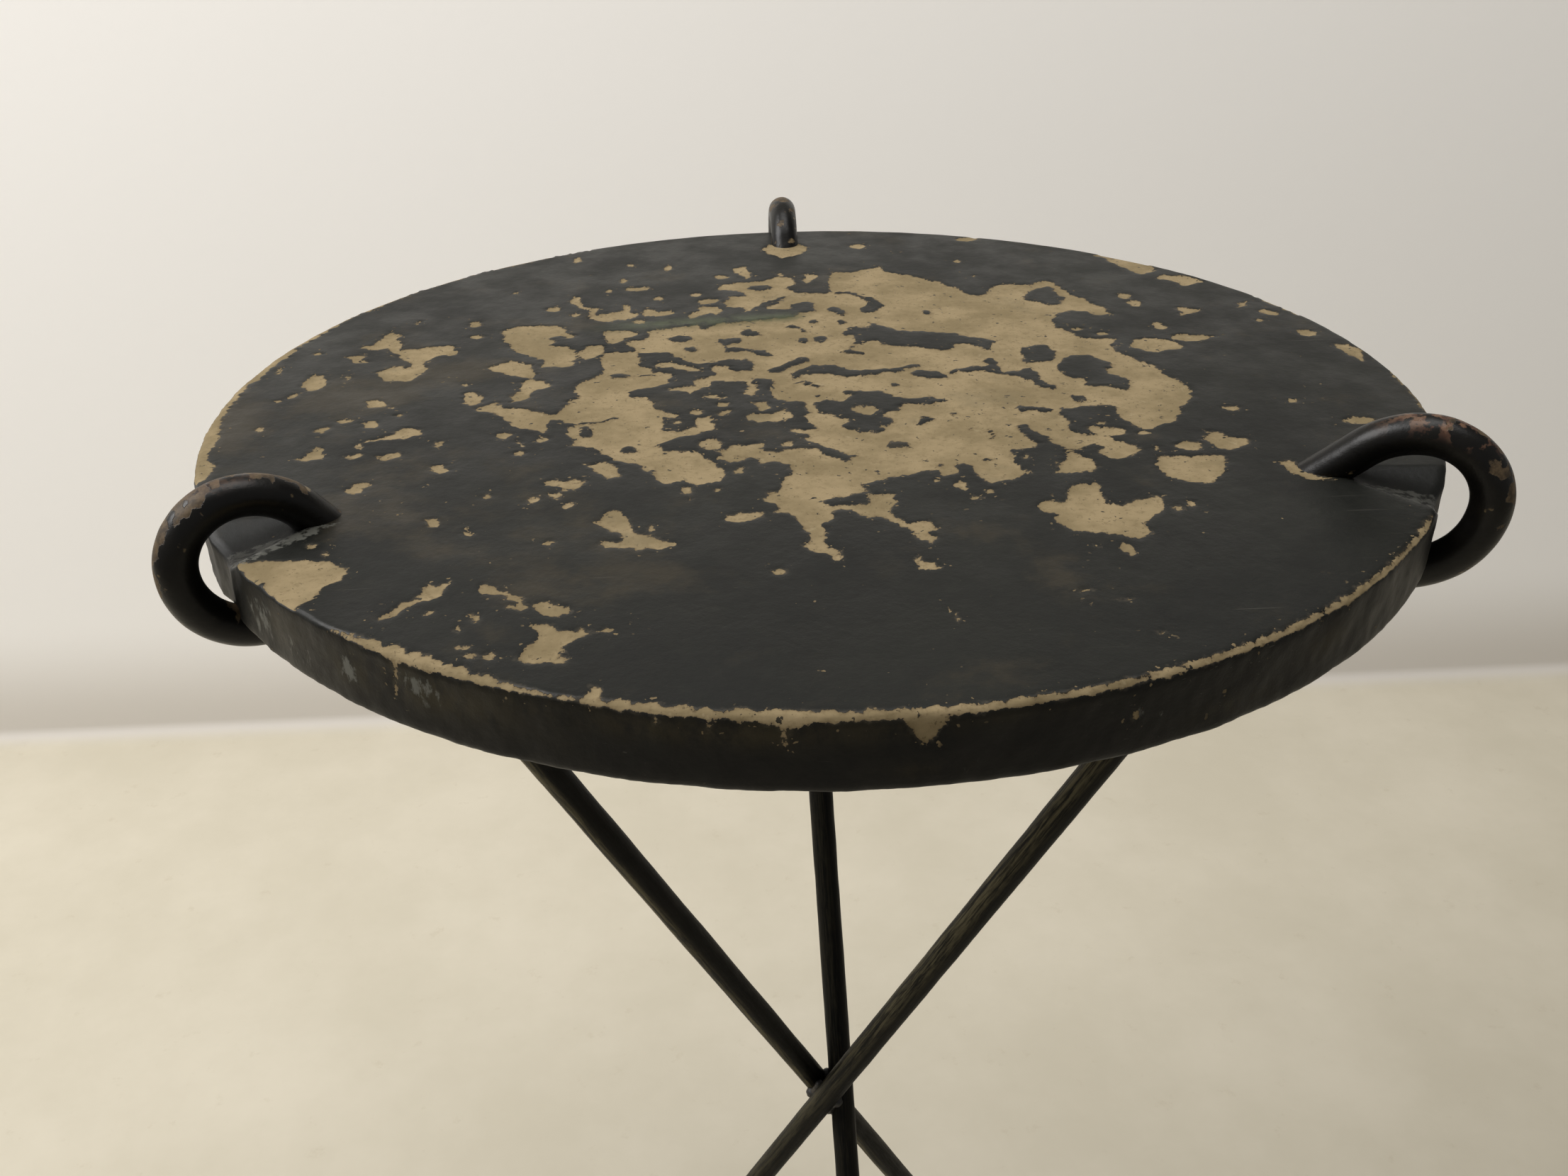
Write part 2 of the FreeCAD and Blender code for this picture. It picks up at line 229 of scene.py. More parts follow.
# Dark paint that is left inside those patches
ISLANDS = [
    [(-16, 111), (-10, 112), (-3, 118), (-5, 113), (-10, 108)],
    [(-27, 66), (-25, 71), (-22, 70), (-19, 66), (-16, 63), (-25, 62)],
    [(-7, 73), (-4, 75), (0, 72), (2, 66), (0, 65), (-2, 70), (-6, 72)],
    [(-38, 60), (-28, 60), (-26, 55), (-32, 53), (-34, 48), (-28, 48), (-22, 46), (-16, 42), (-13, 35),
     (-20, 38), (-26, 44), (-34, 43), (-34, 52), (-37, 56)],
    [(-17, 19), (-9, 27), (-3, 34), (0, 33), (0, 28), (-6, 24), (-9, 19), (-16, 17)],
    [(-8, 14), (-4, 20), (2, 24), (10, 23), (15, 18), (20, 15), (25, 17), (30, 17), (30, 13), (22, 10),
     (11, 9), (9, 14), (2, 14), (-4, 14), (-6, 9), (-8, 8)],
    [(24, 14), (30, 16), (36, 18), (41, 20), (45, 20), (44, 17), (38, 16), (34, 12), (26, 13)],
    [(40, 12), (43, 15), (50, 12), (55, 8), (53, 4), (45, 5), (41, 8)],
    [(55, 9), (58, 14), (65, 16), (73, 16), (71, 22), (74, 25), (77, 20), (76, 11), (78, 8), (84, 10),
     (88, 12), (90, 7), (89, 2), (91, -5), (95, -10), (93, -13), (88, -9), (86, -3), (83, 2), (78, 5),
     (70, 10), (62, 11)],
    [(20, 70), (28, 68), (31, 75), (37, 68), (42, 63), (55, 60), (65, 57), (70, 52), (76, 49), (80, 45),
     (83, 48), (80, 43), (77, 38), (75, 35), (72, 40), (69, 43), (63, 43), (61, 37), (57, 36), (50, 39),
     (46, 42), (37, 43), (33, 46), (31, 51), (26, 50), (20, 46), (19, 41), (14, 38), (24, 35), (24, 37),
     (18, 41), (21, 50), (22, 58), (17, 60)],
    [(20, 121), (27, 120), (30, 113), (36, 111), (37, 104), (40, 98), (36, 94), (33, 88), (28, 90),
     (28, 95), (33, 101), (31, 108), (28, 114), (25, 118), (18, 119)],
    [(108, 112), (115, 117), (120, 119), (121, 107), (122, 100), (118, 92), (113, 91), (109, 96),
     (104, 100), (106, 106)],
    [(89, 35), (92, 36), (96, 39), (101, 38), (103, 29), (99, 20), (94, 18), (87, 19), (89, 26)],
    [(99, 12), (103, 19), (108, 26), (116, 24), (119, 19), (122, 13), (118, 7), (118, 3), (123, -2),
     (125, -7), (120, -15), (113, -11), (106, -9), (107, -3), (102, 1), (99, 5)],
    [(20, -7), (26, -7), (30, -14), (37, -16), (44, -16), (50, -19), (44, -22), (40, -25), (40, -22),
     (33, -22), (30, -28), (24, -30), (27, -40), (22, -43), (22, -48), (13, -48), (8, -42), (10, -38),
     (11, -36), (4, -30), (0, -27), (-1, -18), (4, -15), (11, -17), (14, -10), (10, -9), (13, -5)],
    [(37, -34), (41, -36), (42, -39), (37, -43), (34, -41), (38, -38)],
    [(22, -62), (23, -58), (27, -57), (30, -59), (30, -63), (24, -63)],
    [(97, -18), (102, -20), (101, -28), (98, -25)],
    [(74, -30), (77, -27), (80, -30), (86, -30), (88, -33), (84, -36), (80, -33), (76, -34)],
    [(60, -48), (62, -50), (62, -56), (59, -58), (61, -54)],
    [(-7, 5), (-3, 6), (4, 1), (1, 0), (-4, 3)],
    [(-33, -64), (-26, -66), (-24, -69), (-27, -67)],
    [(-91, -30), (-76, -26), (-76, -28), (-88, -31)],
    [(-89, -33), (-85, -33), (-84, -42), (-88, -44)],
]
INNER_PATCHES = [[(13, -25), (18, -21), (24, -26), (19, -32), (14, -29)]]

# Small spots as x, y and the two half axes: bare ones, then dark ones
BARE_SPOTS = [
    (-36, -16, 2.2, 2.7), (-46, -23, 2.5, 2.2), (-13, -56, 2, 2), (-62.5, -73, 2.5, 2.5),
    (-53, -32, 1.5, 1.5), (-46, 123, 2.5, 2.5), (-63, 119, 2, 2.5), (-74, 135, 6, 3), (-81, 148, 1.5, 3),
    (-87, 133, 1.5, 2), (-34, 150, 3.5, 3), (-5, 151, 1.3, 3), (-71, 86, 3, 2.5), (-60, 168, 2, 5),
    (-106, 187, 2, 4), (-100, 99, 2, 3), (-111, 108, 3, 3), (-144, 90, 2.5, 4), (-141, 73, 3, 2.5),
    (-170, 96, 1, 3), (37, 196, 4, 4), (83, 164, 1.5, 3), (-159, -15, 1.8, 1.5), (-178, -19, 2.5, 1.5),
    (-116, -39, 2.5, 2.5), (-102, -44, 2, 2.5), (-109, -56, 2, 1.3), (-206, 58, 1.5, 2), (-217, 39, 1, 4),
    (-187, 27, 1, 2.5), (-160, -78, 3, 2), (-161, -82, 3, 3), (-92, -127, 1.5, 1.2), (-109, -188, 2, 1),
    (-107, -193, 2, 1), (-102, -193, 1.5, 2), (-71, -182, 2, 1), (-88, -100, 1.8, 2), (-87, -81, 1.8, 1.5),
    (-116, -91, 1.2, 2), (-100, -95, 1.5, 2.5), (-49, -92, 2, 2.5), (-60, -120, 1, 2), (-48, -99, 1.2, 1),
    (-21, -152, 2, 1.8), (150, 100, 3, 4), (152, 89, 3, 4), (154, 57, 2.5, 4), (127, 50, 2, 2),
    (118, 57, 2.5, 2), (112, 4, 2.5, 2), (91, 22, 1.5, 1.5), (213, 42, 3.5, 4), (154, -38, 3, 2),
    (179, -33, 2, 1.5), (128, -71, 4.5, 4), (51, -102, 1.5, 1.5), (35, -92, 1.2, 1.2), (69, -75, 1, 1.5),
    (116, -72, 1, 2), (115, -58, 2, 1.5), (196, -54, 6, 3)]
DARK_SPOTS = [
    (-16, 131, 5.5, 4), (16, 95, 3, 3), (19, 90, 2, 3.5), (6, 79, 1.5, 2), (18, 77, 1.5, 3),
    (0, 54, 2.2, 3.5), (7, 55, 3, 4), (-53, 62, 5, 4), (-48, 48, 3, 2.5), (57, 86, 2, 3), (32, -1, 1, 1),
    (50, -33, 1, 1.2), (54, -48, 0.8, 1), (38, -79, 1, 1), (55, -76, 1.5, 1), (1, -10, 1, 1),
    (-77, 19, 4, 2), (-66, 18.5, 3, 1), (-70, -56, 2.5, 3)]

# Worn line along the front edge: azimuth, width on the top, width down the rim
EDGE_WEAR = [
    (229, 0, 0), (231, 1.6, 1), (233, 3.4, 1.6), (236, 4.4, 2), (240, 4.2, 2), (243, 3.4, 1.5),
    (245.5, 2, 1), (248, 1, 0.8), (250, 1, 0.8), (252, 2.6, 1.5), (256, 3, 1.7), (259, 2.6, 1.8),
    (262, 3.2, 2), (264.5, 3.4, 3.4), (267, 2.8, 1.9), (270, 2.6, 1.6), (274, 2.5, 1.6), (279, 2.4, 1.4),
    (282, 1.9, 1.1), (285, 2.3, 1.4), (288, 1.9, 1.2), (291, 2.5, 1.2), (295, 2.1, 1.1), (299, 2.2, 1.1),
    (302, 2.2, 1.2), (323, 2.2, 1), (327, 0, 0)]

# Bare marks on the rim, as outlines of azimuth and depth under the top
RIM_PATCHES = [
    [(271, 0.5), (275, 0.5), (273, 11)],
    [(235.9, 1), (236.4, 1), (236.0, 8), (235.6, 16), (235.3, 16), (235.6, 8)],
    [(255.6, 1), (255.9, 1), (255.8, 5), (255.6, 5)],
    [(259.1, 1), (259.4, 1), (259.3, 6.5), (259.0, 6.5)],
    [(263.8, 3), (264.3, 3), (264.2, 9), (263.9, 9)],
    [(287.2, 9), (287.9, 9.5), (287.8, 12.5), (287.2, 13)],
    [(298.7, 6.6), (299.0, 7), (298.8, 8)],
]

# Soft olive or brown rubbed zones on the rim: azimuth, depth, half width in
# degrees, half height, and strength
RUBS = [
    (238, 9, 8, 6, 0.9), (231, 12, 3, 6, 0.6), (246, 5, 8, 3.5, 0.5), (256, 6, 6, 4, 0.75),
    (262, 6, 6, 4, 0.85), (269, 5, 6, 4, 0.6), (273, 18, 2.5, 2.5, 0.5), (295.8, 17.5, 3.5, 3.5, 0.55),
    (305.7, 10.6, 3, 5, 0.6), (279, 4, 5, 2.5, 0.4), (222, 10, 6, 7, 0.45), (150, 9, 9, 6, 0.6),
    (100, 8, 12, 5, 0.5), (50, 9, 10, 6, 0.6), (15, 9, 7, 7, 0.5), (180, 9, 10, 6, 0.5)]

# Grey scuffed zones on the rim, in the same five values as RUBS
SCUFFS = [
    (219, 12, 3, 8, 1), (224, 16, 3, 5, 0.8), (231, 11, 1.2, 5, 1.1), (238, 8, 2, 5, 1.1),
    (287.5, 11, 0.8, 2, 0.9), (290, 12.5, 0.8, 1.6, 0.7), (276, 19, 3, 3, 0.3), (120, 12, 6, 6, 0.5),
    (60, 14, 8, 5, 0.4), (170, 13, 6, 6, 0.5), (350, 12, 5, 6, 0.4)]

# Small chips scattered over the whole top
SMALL_SPOT_COUNT = 32
SMALL_SPOT_SIZES = (0.8, 2)
SMALL_SPOT_SPREAD = 0.94

# Slight wear of the edge on the far side: azimuths, degrees between its rows,
# and the ranges of its widths on the top and down the rim
FAR_LEFT = (113, 200)
FAR_RIGHT = (346, 360)
FAR_WEAR_STEP = 4
FAR_TOP_WIDTHS = (1.6, 4.6)
FAR_RIM_WIDTHS = (0.6, 1.2)

# Brown smudges scattered over the left and front left of the top
SMUDGE_COUNT = 8
SMUDGE_AZIMUTHS = (150, 255)
SMUDGE_STATIONS = (140, 215)
SMUDGE_RADII = (25, 50)
SMUDGE_STRENGTHS = (0.6, 1)

# Grey scuffed band with a painted highlight on the front side of each scoop: how far
# its middle lies in front of the scoop's axis, its half width at the rim, and the share of the
# way out at which it starts
SCOOP_SCUFFS_AND_HIGHLIGHTS = {"left": (9, 11, 0), "right": (3, 9, 0.35)}

# Hooks: how much of the bar's facing side stays black, the share of copper
# tint on its crown, and the way that the left hook's worn side faces
HOOK_BLACK = {"back": 0.2, "left": 0.24, "right": 0.55}
HOOK_COPPER = {"back": 0.0, "left": 0.25, "right": 1.0}
LEFT_WORN_WAY = (-0.6, 0.25, 0.75)


def small_spots():
    """Seeded small chips over the top: x, y and two half sizes."""
    draw = np.random.default_rng(SMALL_SPOT_COUNT)
    spots = []
    for _ in range(SMALL_SPOT_COUNT):
        turn = draw.uniform(0, 2 * math.pi)
        station = RADIUS * SMALL_SPOT_SPREAD * math.sqrt(draw.uniform(0, 1))
        spots.append((station * math.cos(turn), station * math.sin(turn),
                      draw.uniform(*SMALL_SPOT_SIZES), draw.uniform(*SMALL_SPOT_SIZES)))
    return spots


def far_wear(first, last):
    """Slight wear of the edge between two azimuths: azimuth and two widths."""
    draw = np.random.default_rng(first)
    worn = [(azimuth, draw.uniform(*FAR_TOP_WIDTHS), draw.uniform(*FAR_RIM_WIDTHS))
            for azimuth in range(first + 3, last, FAR_WEAR_STEP)]
    return [(first, 0, 0)] + worn + [(last, 0, 0)]


def smudge_spots():
    """Seeded brown smudges: x, y, radius and strength."""
    draw = np.random.default_rng(SMUDGE_COUNT)
    spots = []
    for _ in range(SMUDGE_COUNT):
        turn = math.radians(draw.uniform(*SMUDGE_AZIMUTHS))
        station = draw.uniform(*SMUDGE_STATIONS)
        spots.append((station * math.cos(turn), station * math.sin(turn),
                      draw.uniform(*SMUDGE_RADII), draw.uniform(*SMUDGE_STRENGTHS)))
    return spots


def ripple(points, wavelength, seed):
    """Smooth seeded noise from -1 to 1 at points of any dimension."""
    rng = np.random.default_rng(seed)
    total = np.zeros(len(points))
    for _ in range(9):
        way = rng.normal(size=points.shape[1])
        way *= 2 * math.pi / (wavelength * rng.uniform(0.6, 1.7) * np.linalg.norm(way))
        total += np.sin(points @ way + rng.uniform(0, 2 * math.pi))
    return np.clip(total / 4.0, -1, 1)


def smooth(value, low, high):
    """Smooth step from 0 at low to 1 at high."""
    share = np.clip((value - low) / (high - low), 0, 1)
    return share * share * (3 - 2 * share)


def outline_depth(points, outline):
    """Distance to a closed outline, positive inside, and -FIELD_LIMIT when far."""
    corners = np.array(outline, float)
    low, high = corners.min(0) - FIELD_LIMIT, corners.max(0) + FIELD_LIMIT
    near = np.nonzero(((points > low) & (points < high)).all(1))[0]
    p = points[near]
    best = np.full(len(p), FIELD_LIMIT)
    inside = np.zeros(len(p), bool)
    for a, b in zip(corners, np.roll(corners, -1, 0)):
        edge, rel = b - a, p - a
        share = np.clip(rel @ edge / (edge @ edge), 0, 1)
        best = np.minimum(best, np.hypot(*(rel - share[:, None] * edge).T))
        if a[1] != b[1]:
            spans = (a[1] > p[:, 1]) != (b[1] > p[:, 1])
            inside ^= spans & (p[:, 0] < a[0] + rel[:, 1] * edge[0] / edge[1])
    depth = np.full(len(points), -FIELD_LIMIT)
    depth[near] = np.where(inside, best, -best)
    return depth


def spot_depth(points, spot):
    """Roughly the distance to an ellipse's edge, positive inside."""
    x, y, half_x, half_y = spot
    reach = np.hypot((points[:, 0] - x) / half_x, (points[:, 1] - y) / half_y)
    return np.clip((1 - reach) * min(half_x, half_y) + 0.1, -FIELD_LIMIT, FIELD_LIMIT)


def edge_depth(azimuth, inward, down):
    """Bareness of the worn edge: EDGE_WEAR in front, slight wear on the far side."""
    knots = np.array(far_wear(*FAR_LEFT) + EDGE_WEAR + far_wear(*FAR_RIGHT), float)
    around = np.stack([azimuth * 4.0, inward * 0.4, down * 0.4], 1)
    scale = 1 + 0.25 * ripple(around, 6, 31) + 0.22 * ripple(around, 2.6, 32)
    on_top = np.interp(azimuth, knots[:, 0], knots[:, 1], 0, 0) * scale
    on_rim = np.interp(azimuth, knots[:, 0], knots[:, 2], 0, 0) * scale
    reach = np.where(down > 0.6, on_rim - down, on_top - inward)
    return np.where(on_top > 0.3, np.clip(reach, -FIELD_LIMIT, FIELD_LIMIT), -FIELD_LIMIT)


def bareness(x, y, down, outward):
    """Signed depth into the bare areas, in mm, for points of the slab's skin."""
    flat = np.stack([x, y], 1)
    warp = np.stack([ripple(flat, 7, 11) * 0.8 + ripple(flat, 3.2, 12) * 0.5,
                     ripple(flat, 7, 13) * 0.8 + ripple(flat, 3.2, 14) * 0.5], 1)
    moved = flat + warp
    depth = np.full(len(x), -FIELD_LIMIT)
    for outline in PATCHES:
        depth = np.maximum(depth, outline_depth(moved, outline))
    for spot in BARE_SPOTS + small_spots():
        depth = np.maximum(depth, spot_depth(flat + warp * 0.6, spot))
    for outline in ISLANDS:
        depth = np.minimum(depth, -outline_depth(moved, outline))
    for spot in DARK_SPOTS:
        depth = np.minimum(depth, -spot_depth(flat + warp * 0.6, spot))
    for outline in INNER_PATCHES:
        depth = np.maximum(depth, outline_depth(moved, outline))
    azimuth = np.degrees(np.arctan2(y, x)) % 360
    depth = np.where(down > 1.2, -FIELD_LIMIT, depth)
    depth = np.maximum(depth, edge_depth(azimuth, RADIUS - np.hypot(x, y), down))
    per_degree = RADIUS * math.pi / 180
    unrolled = np.stack([azimuth * per_degree, down], 1)
    unrolled += np.stack([warp[:, 0] * 0.4, warp[:, 1] * 0.5], 1)
    rim = np.full(len(x), -FIELD_LIMIT)
    for outline in RIM_PATCHES:
        rim = np.maximum(rim, outline_depth(unrolled, [(a * per_degree, d) for a, d in outline]))
    return np.where(outward, np.maximum(depth, rim - 0.25), depth)


def zone_strength(zones, x, y, down, outward):
    """Greatest strength of soft round zones on the rim, and 0 off the rim."""
    azimuth = np.degrees(np.arctan2(y, x)) % 360
    total = np.zeros(len(x))
    for middle, depth, half_width, half_height, strength in zones:
        across = (azimuth - middle) / half_width
        total = np.maximum(total, strength * np.exp(-across ** 2 - ((down - depth) / half_height) ** 2))
    return np.where(outward, total, 0)


def from_scoop(x, y, side):
    """Distances of points out from a scoop's start and anticlockwise off its axis."""
    turn = math.radians(HOOKS[side][0])
    out = x * math.cos(turn) + y * math.sin(turn) - SCOOP_STARTS[side]
    return out, y * math.cos(turn) - x * math.sin(turn)


def scuff_and_highlight_strength(x, y, down, outward):
    """Strength from 0 to 1 of the grey scuffing on the rim, and of the grey scuffing with painted highlight
    in the scoops.
    """
    total = zone_strength(SCUFFS, x, y, down, outward)
    # Painted highlight: the front flank of each scoop is lightened to grey as if lit, over some scuffing
    for side, start in SCOOP_STARTS.items():
        out, off = from_scoop(x, y, side)
        in_front = off if side == "left" else -off
        middle, half_width, begins = SCOOP_SCUFFS_AND_HIGHLIGHTS[side]
        share = (out / (RADIUS - start) - begins) / (1 - begins)
        depth = half_width * share - np.abs(in_front - middle)
        total = np.maximum(total, smooth(depth, -2, 1.5) * (share > 0) * (down < 1))
    return total


def streaked(x, y, down):
    """Strength from 0 to 1 of the green streak across the top."""
    along = smooth(x, -100, -60) * smooth(-x, -8, 6)
    return along * np.exp(-((y - 80 - (x + 85) * 0.08) / 5.5) ** 2) * (down < 0.5)


def smudged(x, y, down):
    """Strength from 0 to 1 of the brown smudges on the top."""
    total = np.zeros(len(x))
    for middle_x, middle_y, radius, strength in smudge_spots():
        away = ((x - middle_x) ** 2 + (y - middle_y) ** 2) / radius ** 2
        total = np.maximum(total, strength * np.exp(-away) * (down < 1))
    return total


def new_mesh(name, vertices, faces):
    """Smooth-shaded mesh object from points in mm."""
    mesh = bpy.data.meshes.new(name)
    mesh.from_pydata((np.asarray(vertices) * MM).tolist(), [], faces)
    mesh.validate()
    mesh.shade_smooth()
    piece = bpy.data.objects.new(name, mesh)
    bpy.context.scene.collection.objects.link(piece)
    return piece


def add_attribute(piece, name, values):
    """Stores one value per vertex under a name."""
    attribute = piece.data.attributes.new(name, "FLOAT", "POINT")
    attribute.data.foreach_set("value", np.asarray(values, np.float32))


def slab_reach(azimuth):
    """Radius of the slab at azimuths in degrees, with the flutes cut."""
    reach = np.full(len(azimuth), RADIUS)
    axis = RADIUS - FLUTE_DEPTH + FLUTE_RADIUS
    for side in SCOOP_STARTS:
        off = np.radians((azimuth - HOOKS[side][0] + 180) % 360 - 180)
        inside = FLUTE_RADIUS ** 2 - (axis * np.sin(off)) ** 2
        near = (inside > 0) & (np.cos(off) > 0)
        cut = axis * np.cos(off) - np.sqrt(np.where(near, inside, 0))
        reach = np.where(near, np.minimum(reach, cut), reach)
    return reach


def scoop_drop(x, y):
    """Height of the scooped top, 0 or below, where the cone of each scoop cuts it."""
    rise, half = math.radians(SCOOP_AXIS_RISE), math.radians(SCOOP_HALF_ANGLE)
    spread = math.cos(half) ** 2
    under = spread - math.sin(rise) ** 2
    ahead = math.cos(rise) ** 2 - spread
    lean = math.sin(2 * rise)
    height = np.zeros(len(x))
    for side in SCOOP_STARTS:
        out, off = from_scoop(x, y, side)
        hollow = (out > 0) & (ahead * out ** 2 > spread * off ** 2)
        inside = (lean ** 2 + 4 * under * ahead) * out ** 2 - 4 * under * spread * off ** 2
        root = np.sqrt(np.where(hollow, inside, 0))
        height = np.where(hollow, (lean * out - root) / (2 * under), height)
    return np.minimum(height, 0)


def disc_grid():
    """Square grid bent to a disc: x, y, faces, and the numbers of its rim's points in order."""
    count = GRID_CELLS + 1
    line = np.linspace(-1, 1, count)
    u, v = (a.ravel() for a in np.meshgrid(line, line))
    wide = np.abs(u) >= np.abs(v)
    ring = np.where(wide, u, v)
    safe = np.where(ring == 0, 1, ring)
    angle = np.where(wide, math.pi / 4 * v / safe, math.pi / 2 - math.pi / 4 * u / safe)
    x, y = ring * np.cos(angle), ring * np.sin(angle)
    reach = slab_reach(np.degrees(np.arctan2(y, x)) % 360) - TOP_EDGE_RADIUS
    faces = []
    for row in range(GRID_CELLS):
        for column in range(GRID_CELLS):
            a = row * count + column
            faces.append((a, a + 1, a + 1 + count, a + count))
    up, back = range(GRID_CELLS), range(GRID_CELLS, 0, -1)
    rim = [column for column in up] + [row * count + GRID_CELLS for row in up]
    rim += [GRID_CELLS * count + column for column in back] + [row * count for row in back]
    return x * reach, y * reach, faces, rim


def side_rows():
    """Rows of points down the side: distance in from the rim and depth under the top."""
    rows = []
    for step in range(1, CURVE_STEPS + 1):
        lean = step * math.pi / (2 * CURVE_STEPS)
        rows.append((TOP_EDGE_RADIUS * (1 - math.sin(lean)), TOP_EDGE_RADIUS * (1 - math.cos(lean))))
    for step in range(1, RIM_ROWS + 1):
        share = step / RIM_ROWS
        rows.append((0, TOP_EDGE_RADIUS + share * (THICKNESS - TOP_EDGE_RADIUS - LOW_EDGE_RADIUS)))
    for step in range(1, CURVE_STEPS + 1):
        lean = step * math.pi / (2 * CURVE_STEPS)
        rows.append((LOW_EDGE_RADIUS * (1 - math.cos(lean)),
                     THICKNESS - LOW_EDGE_RADIUS * (1 - math.sin(lean))))
    return rows


def underside(turns, above, total):
    """Rings below the slab that halve in number towards its middle, and their faces."""
    rings, faces = [], []
    size = len(above)
    while size % 2 == 0:
        half = size // 2
        share = (half / len(turns)) ** 0.8
        pick = turns[::len(turns) // half]
        span = (RADIUS - LOW_EDGE_RADIUS - 1) * share / 0.5 ** 0.8 * 0.93
        ring = np.stack([span * np.cos(pick), span * np.sin(pick), np.full(half, -THICKNESS)], 1)
        ring[:, 2] += 0.3 + 0.25 * ripple(ring, 30, 43)
        rings.append(ring)
        inner = list(range(total, total + half))
        total += half
        for k in range(half):
            n = (k + 1) % half
            faces.append((above[2 * k + 1], above[2 * k], inner[k]))
            faces.append((above[2 * n], above[2 * k + 1], inner[k], inner[n]))
        above, size = inner, half
    rings.append(np.array([[0, 0, -THICKNESS + 0.3]]))
    for k in range(size):
        faces.append((above[(k + 1) % size], above[k], total))
    return rings, faces


def slab_skin():
    """Points of the closed slab, their depth under the top, which are on the side, and faces."""
    x, y, faces, rim = disc_grid()
    turns = np.arctan2(y[rim], x[rim])
    reach = slab_reach(np.degrees(turns) % 360)
    lip = scoop_drop(reach * np.cos(turns), reach * np.sin(turns))
    points = [np.stack([x, y, scoop_drop(x, y)], 1)]
    downs = [np.zeros(len(x))]
    outward = [np.zeros(len(x), bool)]
    above = rim
    total = len(x)
    size = len(rim)
    for inset, down in side_rows():
        keep = 1 - down / THICKNESS
        row_points = np.stack([(reach - inset) * np.cos(turns), (reach - inset) * np.sin(turns),
                               -down + lip * keep], 1)
        bumps = ripple(row_points, 16, 41) * 0.25 + ripple(row_points, 5, 42) * 0.12 - 0.37
        row_points[:, :2] *= (1 + bumps / RADIUS)[:, None]
        points.append(row_points)
        downs.append(np.full(size, down))
        outward.append(np.ones(size, bool))
        below = list(range(total, total + size))
        total += size
        for k in range(size):
            n = (k + 1) % size
            faces.append((above[n], above[k], below[k], below[n]))
        above = below
    rings, fan = underside(turns, above, total)
    for ring in rings:
        points.append(ring)
        downs.append(np.full(len(ring), THICKNESS))
        outward.append(np.zeros(len(ring), bool))
    return np.concatenate(points), np.concatenate(downs), np.concatenate(outward), faces + fan


def make_slab():
    """Slab with its chips sunk in, and the values that its paint is shaded by."""
    points, downs, outward, faces = slab_skin()
    x, y = points[:, 0], points[:, 1]
    bare = bareness(x, y, downs, outward)
    rub = zone_strength(RUBS, x, y, downs, outward)
    top = downs < 1.5
    worn = smooth(bare, -0.4, 0.7) * CHIP_DEPTH
    points[:, 2] += np.where(top, -worn - 0.06 - 0.06 * ripple(points[:, :2], 22, 44), 0)
    thin = np.where(downs > 1.0, worn * 0.6 / RADIUS, 0)
    points[:, :2] *= (1 - thin)[:, None]
    points[:, 2] += TOP_Z
    slab = new_mesh("slab", points, faces)
    add_attribute(slab, "bare", bare)
    add_attribute(slab, "rub", rub)
    add_attribute(slab, "streak", streaked(x, y, downs))
    # Grey scuffs on the rim, and scuffs with painted highlight in the scoops
    add_attribute(slab, "scuff_and_highlight", scuff_and_highlight_strength(x, y, downs, outward))
    add_attribute(slab, "smudge", smudged(x, y, downs))
    # side: where the rim's painted shade is laid, from 0 on the top to 1 down the rim
    add_attribute(slab, "side", smooth(downs, 0.5, 2.5))
    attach(slab, "root")
    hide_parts("table_top")
    return slab


def make_tube(name, centres, sideways, radius, sides, seed, cut_at_floor=False):
    """Slightly uneven round bar along centres; sideways is a steady normal of its plane."""
    centres = np.asarray(centres, float)
    ways = np.gradient(centres, axis=0)
    ways /= np.linalg.norm(ways, axis=1)[:, None]
    second = np.cross(ways, sideways)
    second /= np.linalg.norm(second, axis=1)[:, None]
    first = np.cross(second, ways)
    turn = np.arange(sides) * 2 * math.pi / sides
    spokes = first[:, None] * np.cos(turn)[None, :, None] + second[:, None] * np.sin(turn)[None, :, None]
    runs = np.linalg.norm(np.diff(centres, axis=0), axis=1)
    along = np.concatenate([[0], np.cumsum(runs)])
    points = centres[:, None] + spokes * radius
    flat = points.reshape(-1, 3)
    shrink = 0.16 + 0.1 * ripple(flat, 34, seed) + 0.04 * ripple(flat, 7, seed + 1)
    points = centres[:, None] + spokes * (radius - shrink.reshape(points.shape[:2]))[:, :, None]
    if cut_at_floor:
        for row in range(3):
            lift = row * 1.2 - points[row, :, 2]
            points[row] += ways[row] * (lift / ways[row, 2])[:, None]
    rows = len(centres)
    faces = []
    for r in range(rows - 1):
        for k in range(sides):
            n = (k + 1) % sides
            faces.append((r * sides + k, r * sides + n, (r + 1) * sides + n, (r + 1) * sides + k))
    faces.append(tuple(range(sides - 1, -1, -1)))
    faces.append(tuple((rows - 1) * sides + k for k in range(sides)))
    points, spokes = points.reshape(-1, 3), spokes.reshape(-1, 3)
    piece = new_mesh(name, points, faces)
    return piece, points, spokes, np.repeat(along, sides), np.tile(turn, rows)


def plane_point(azimuth, station, height):
    """Point at a station from the slab's axis and a height from its top."""
    turn = math.radians(azimuth)
    return (station * math.cos(turn), station * math.sin(turn), TOP_Z + height)


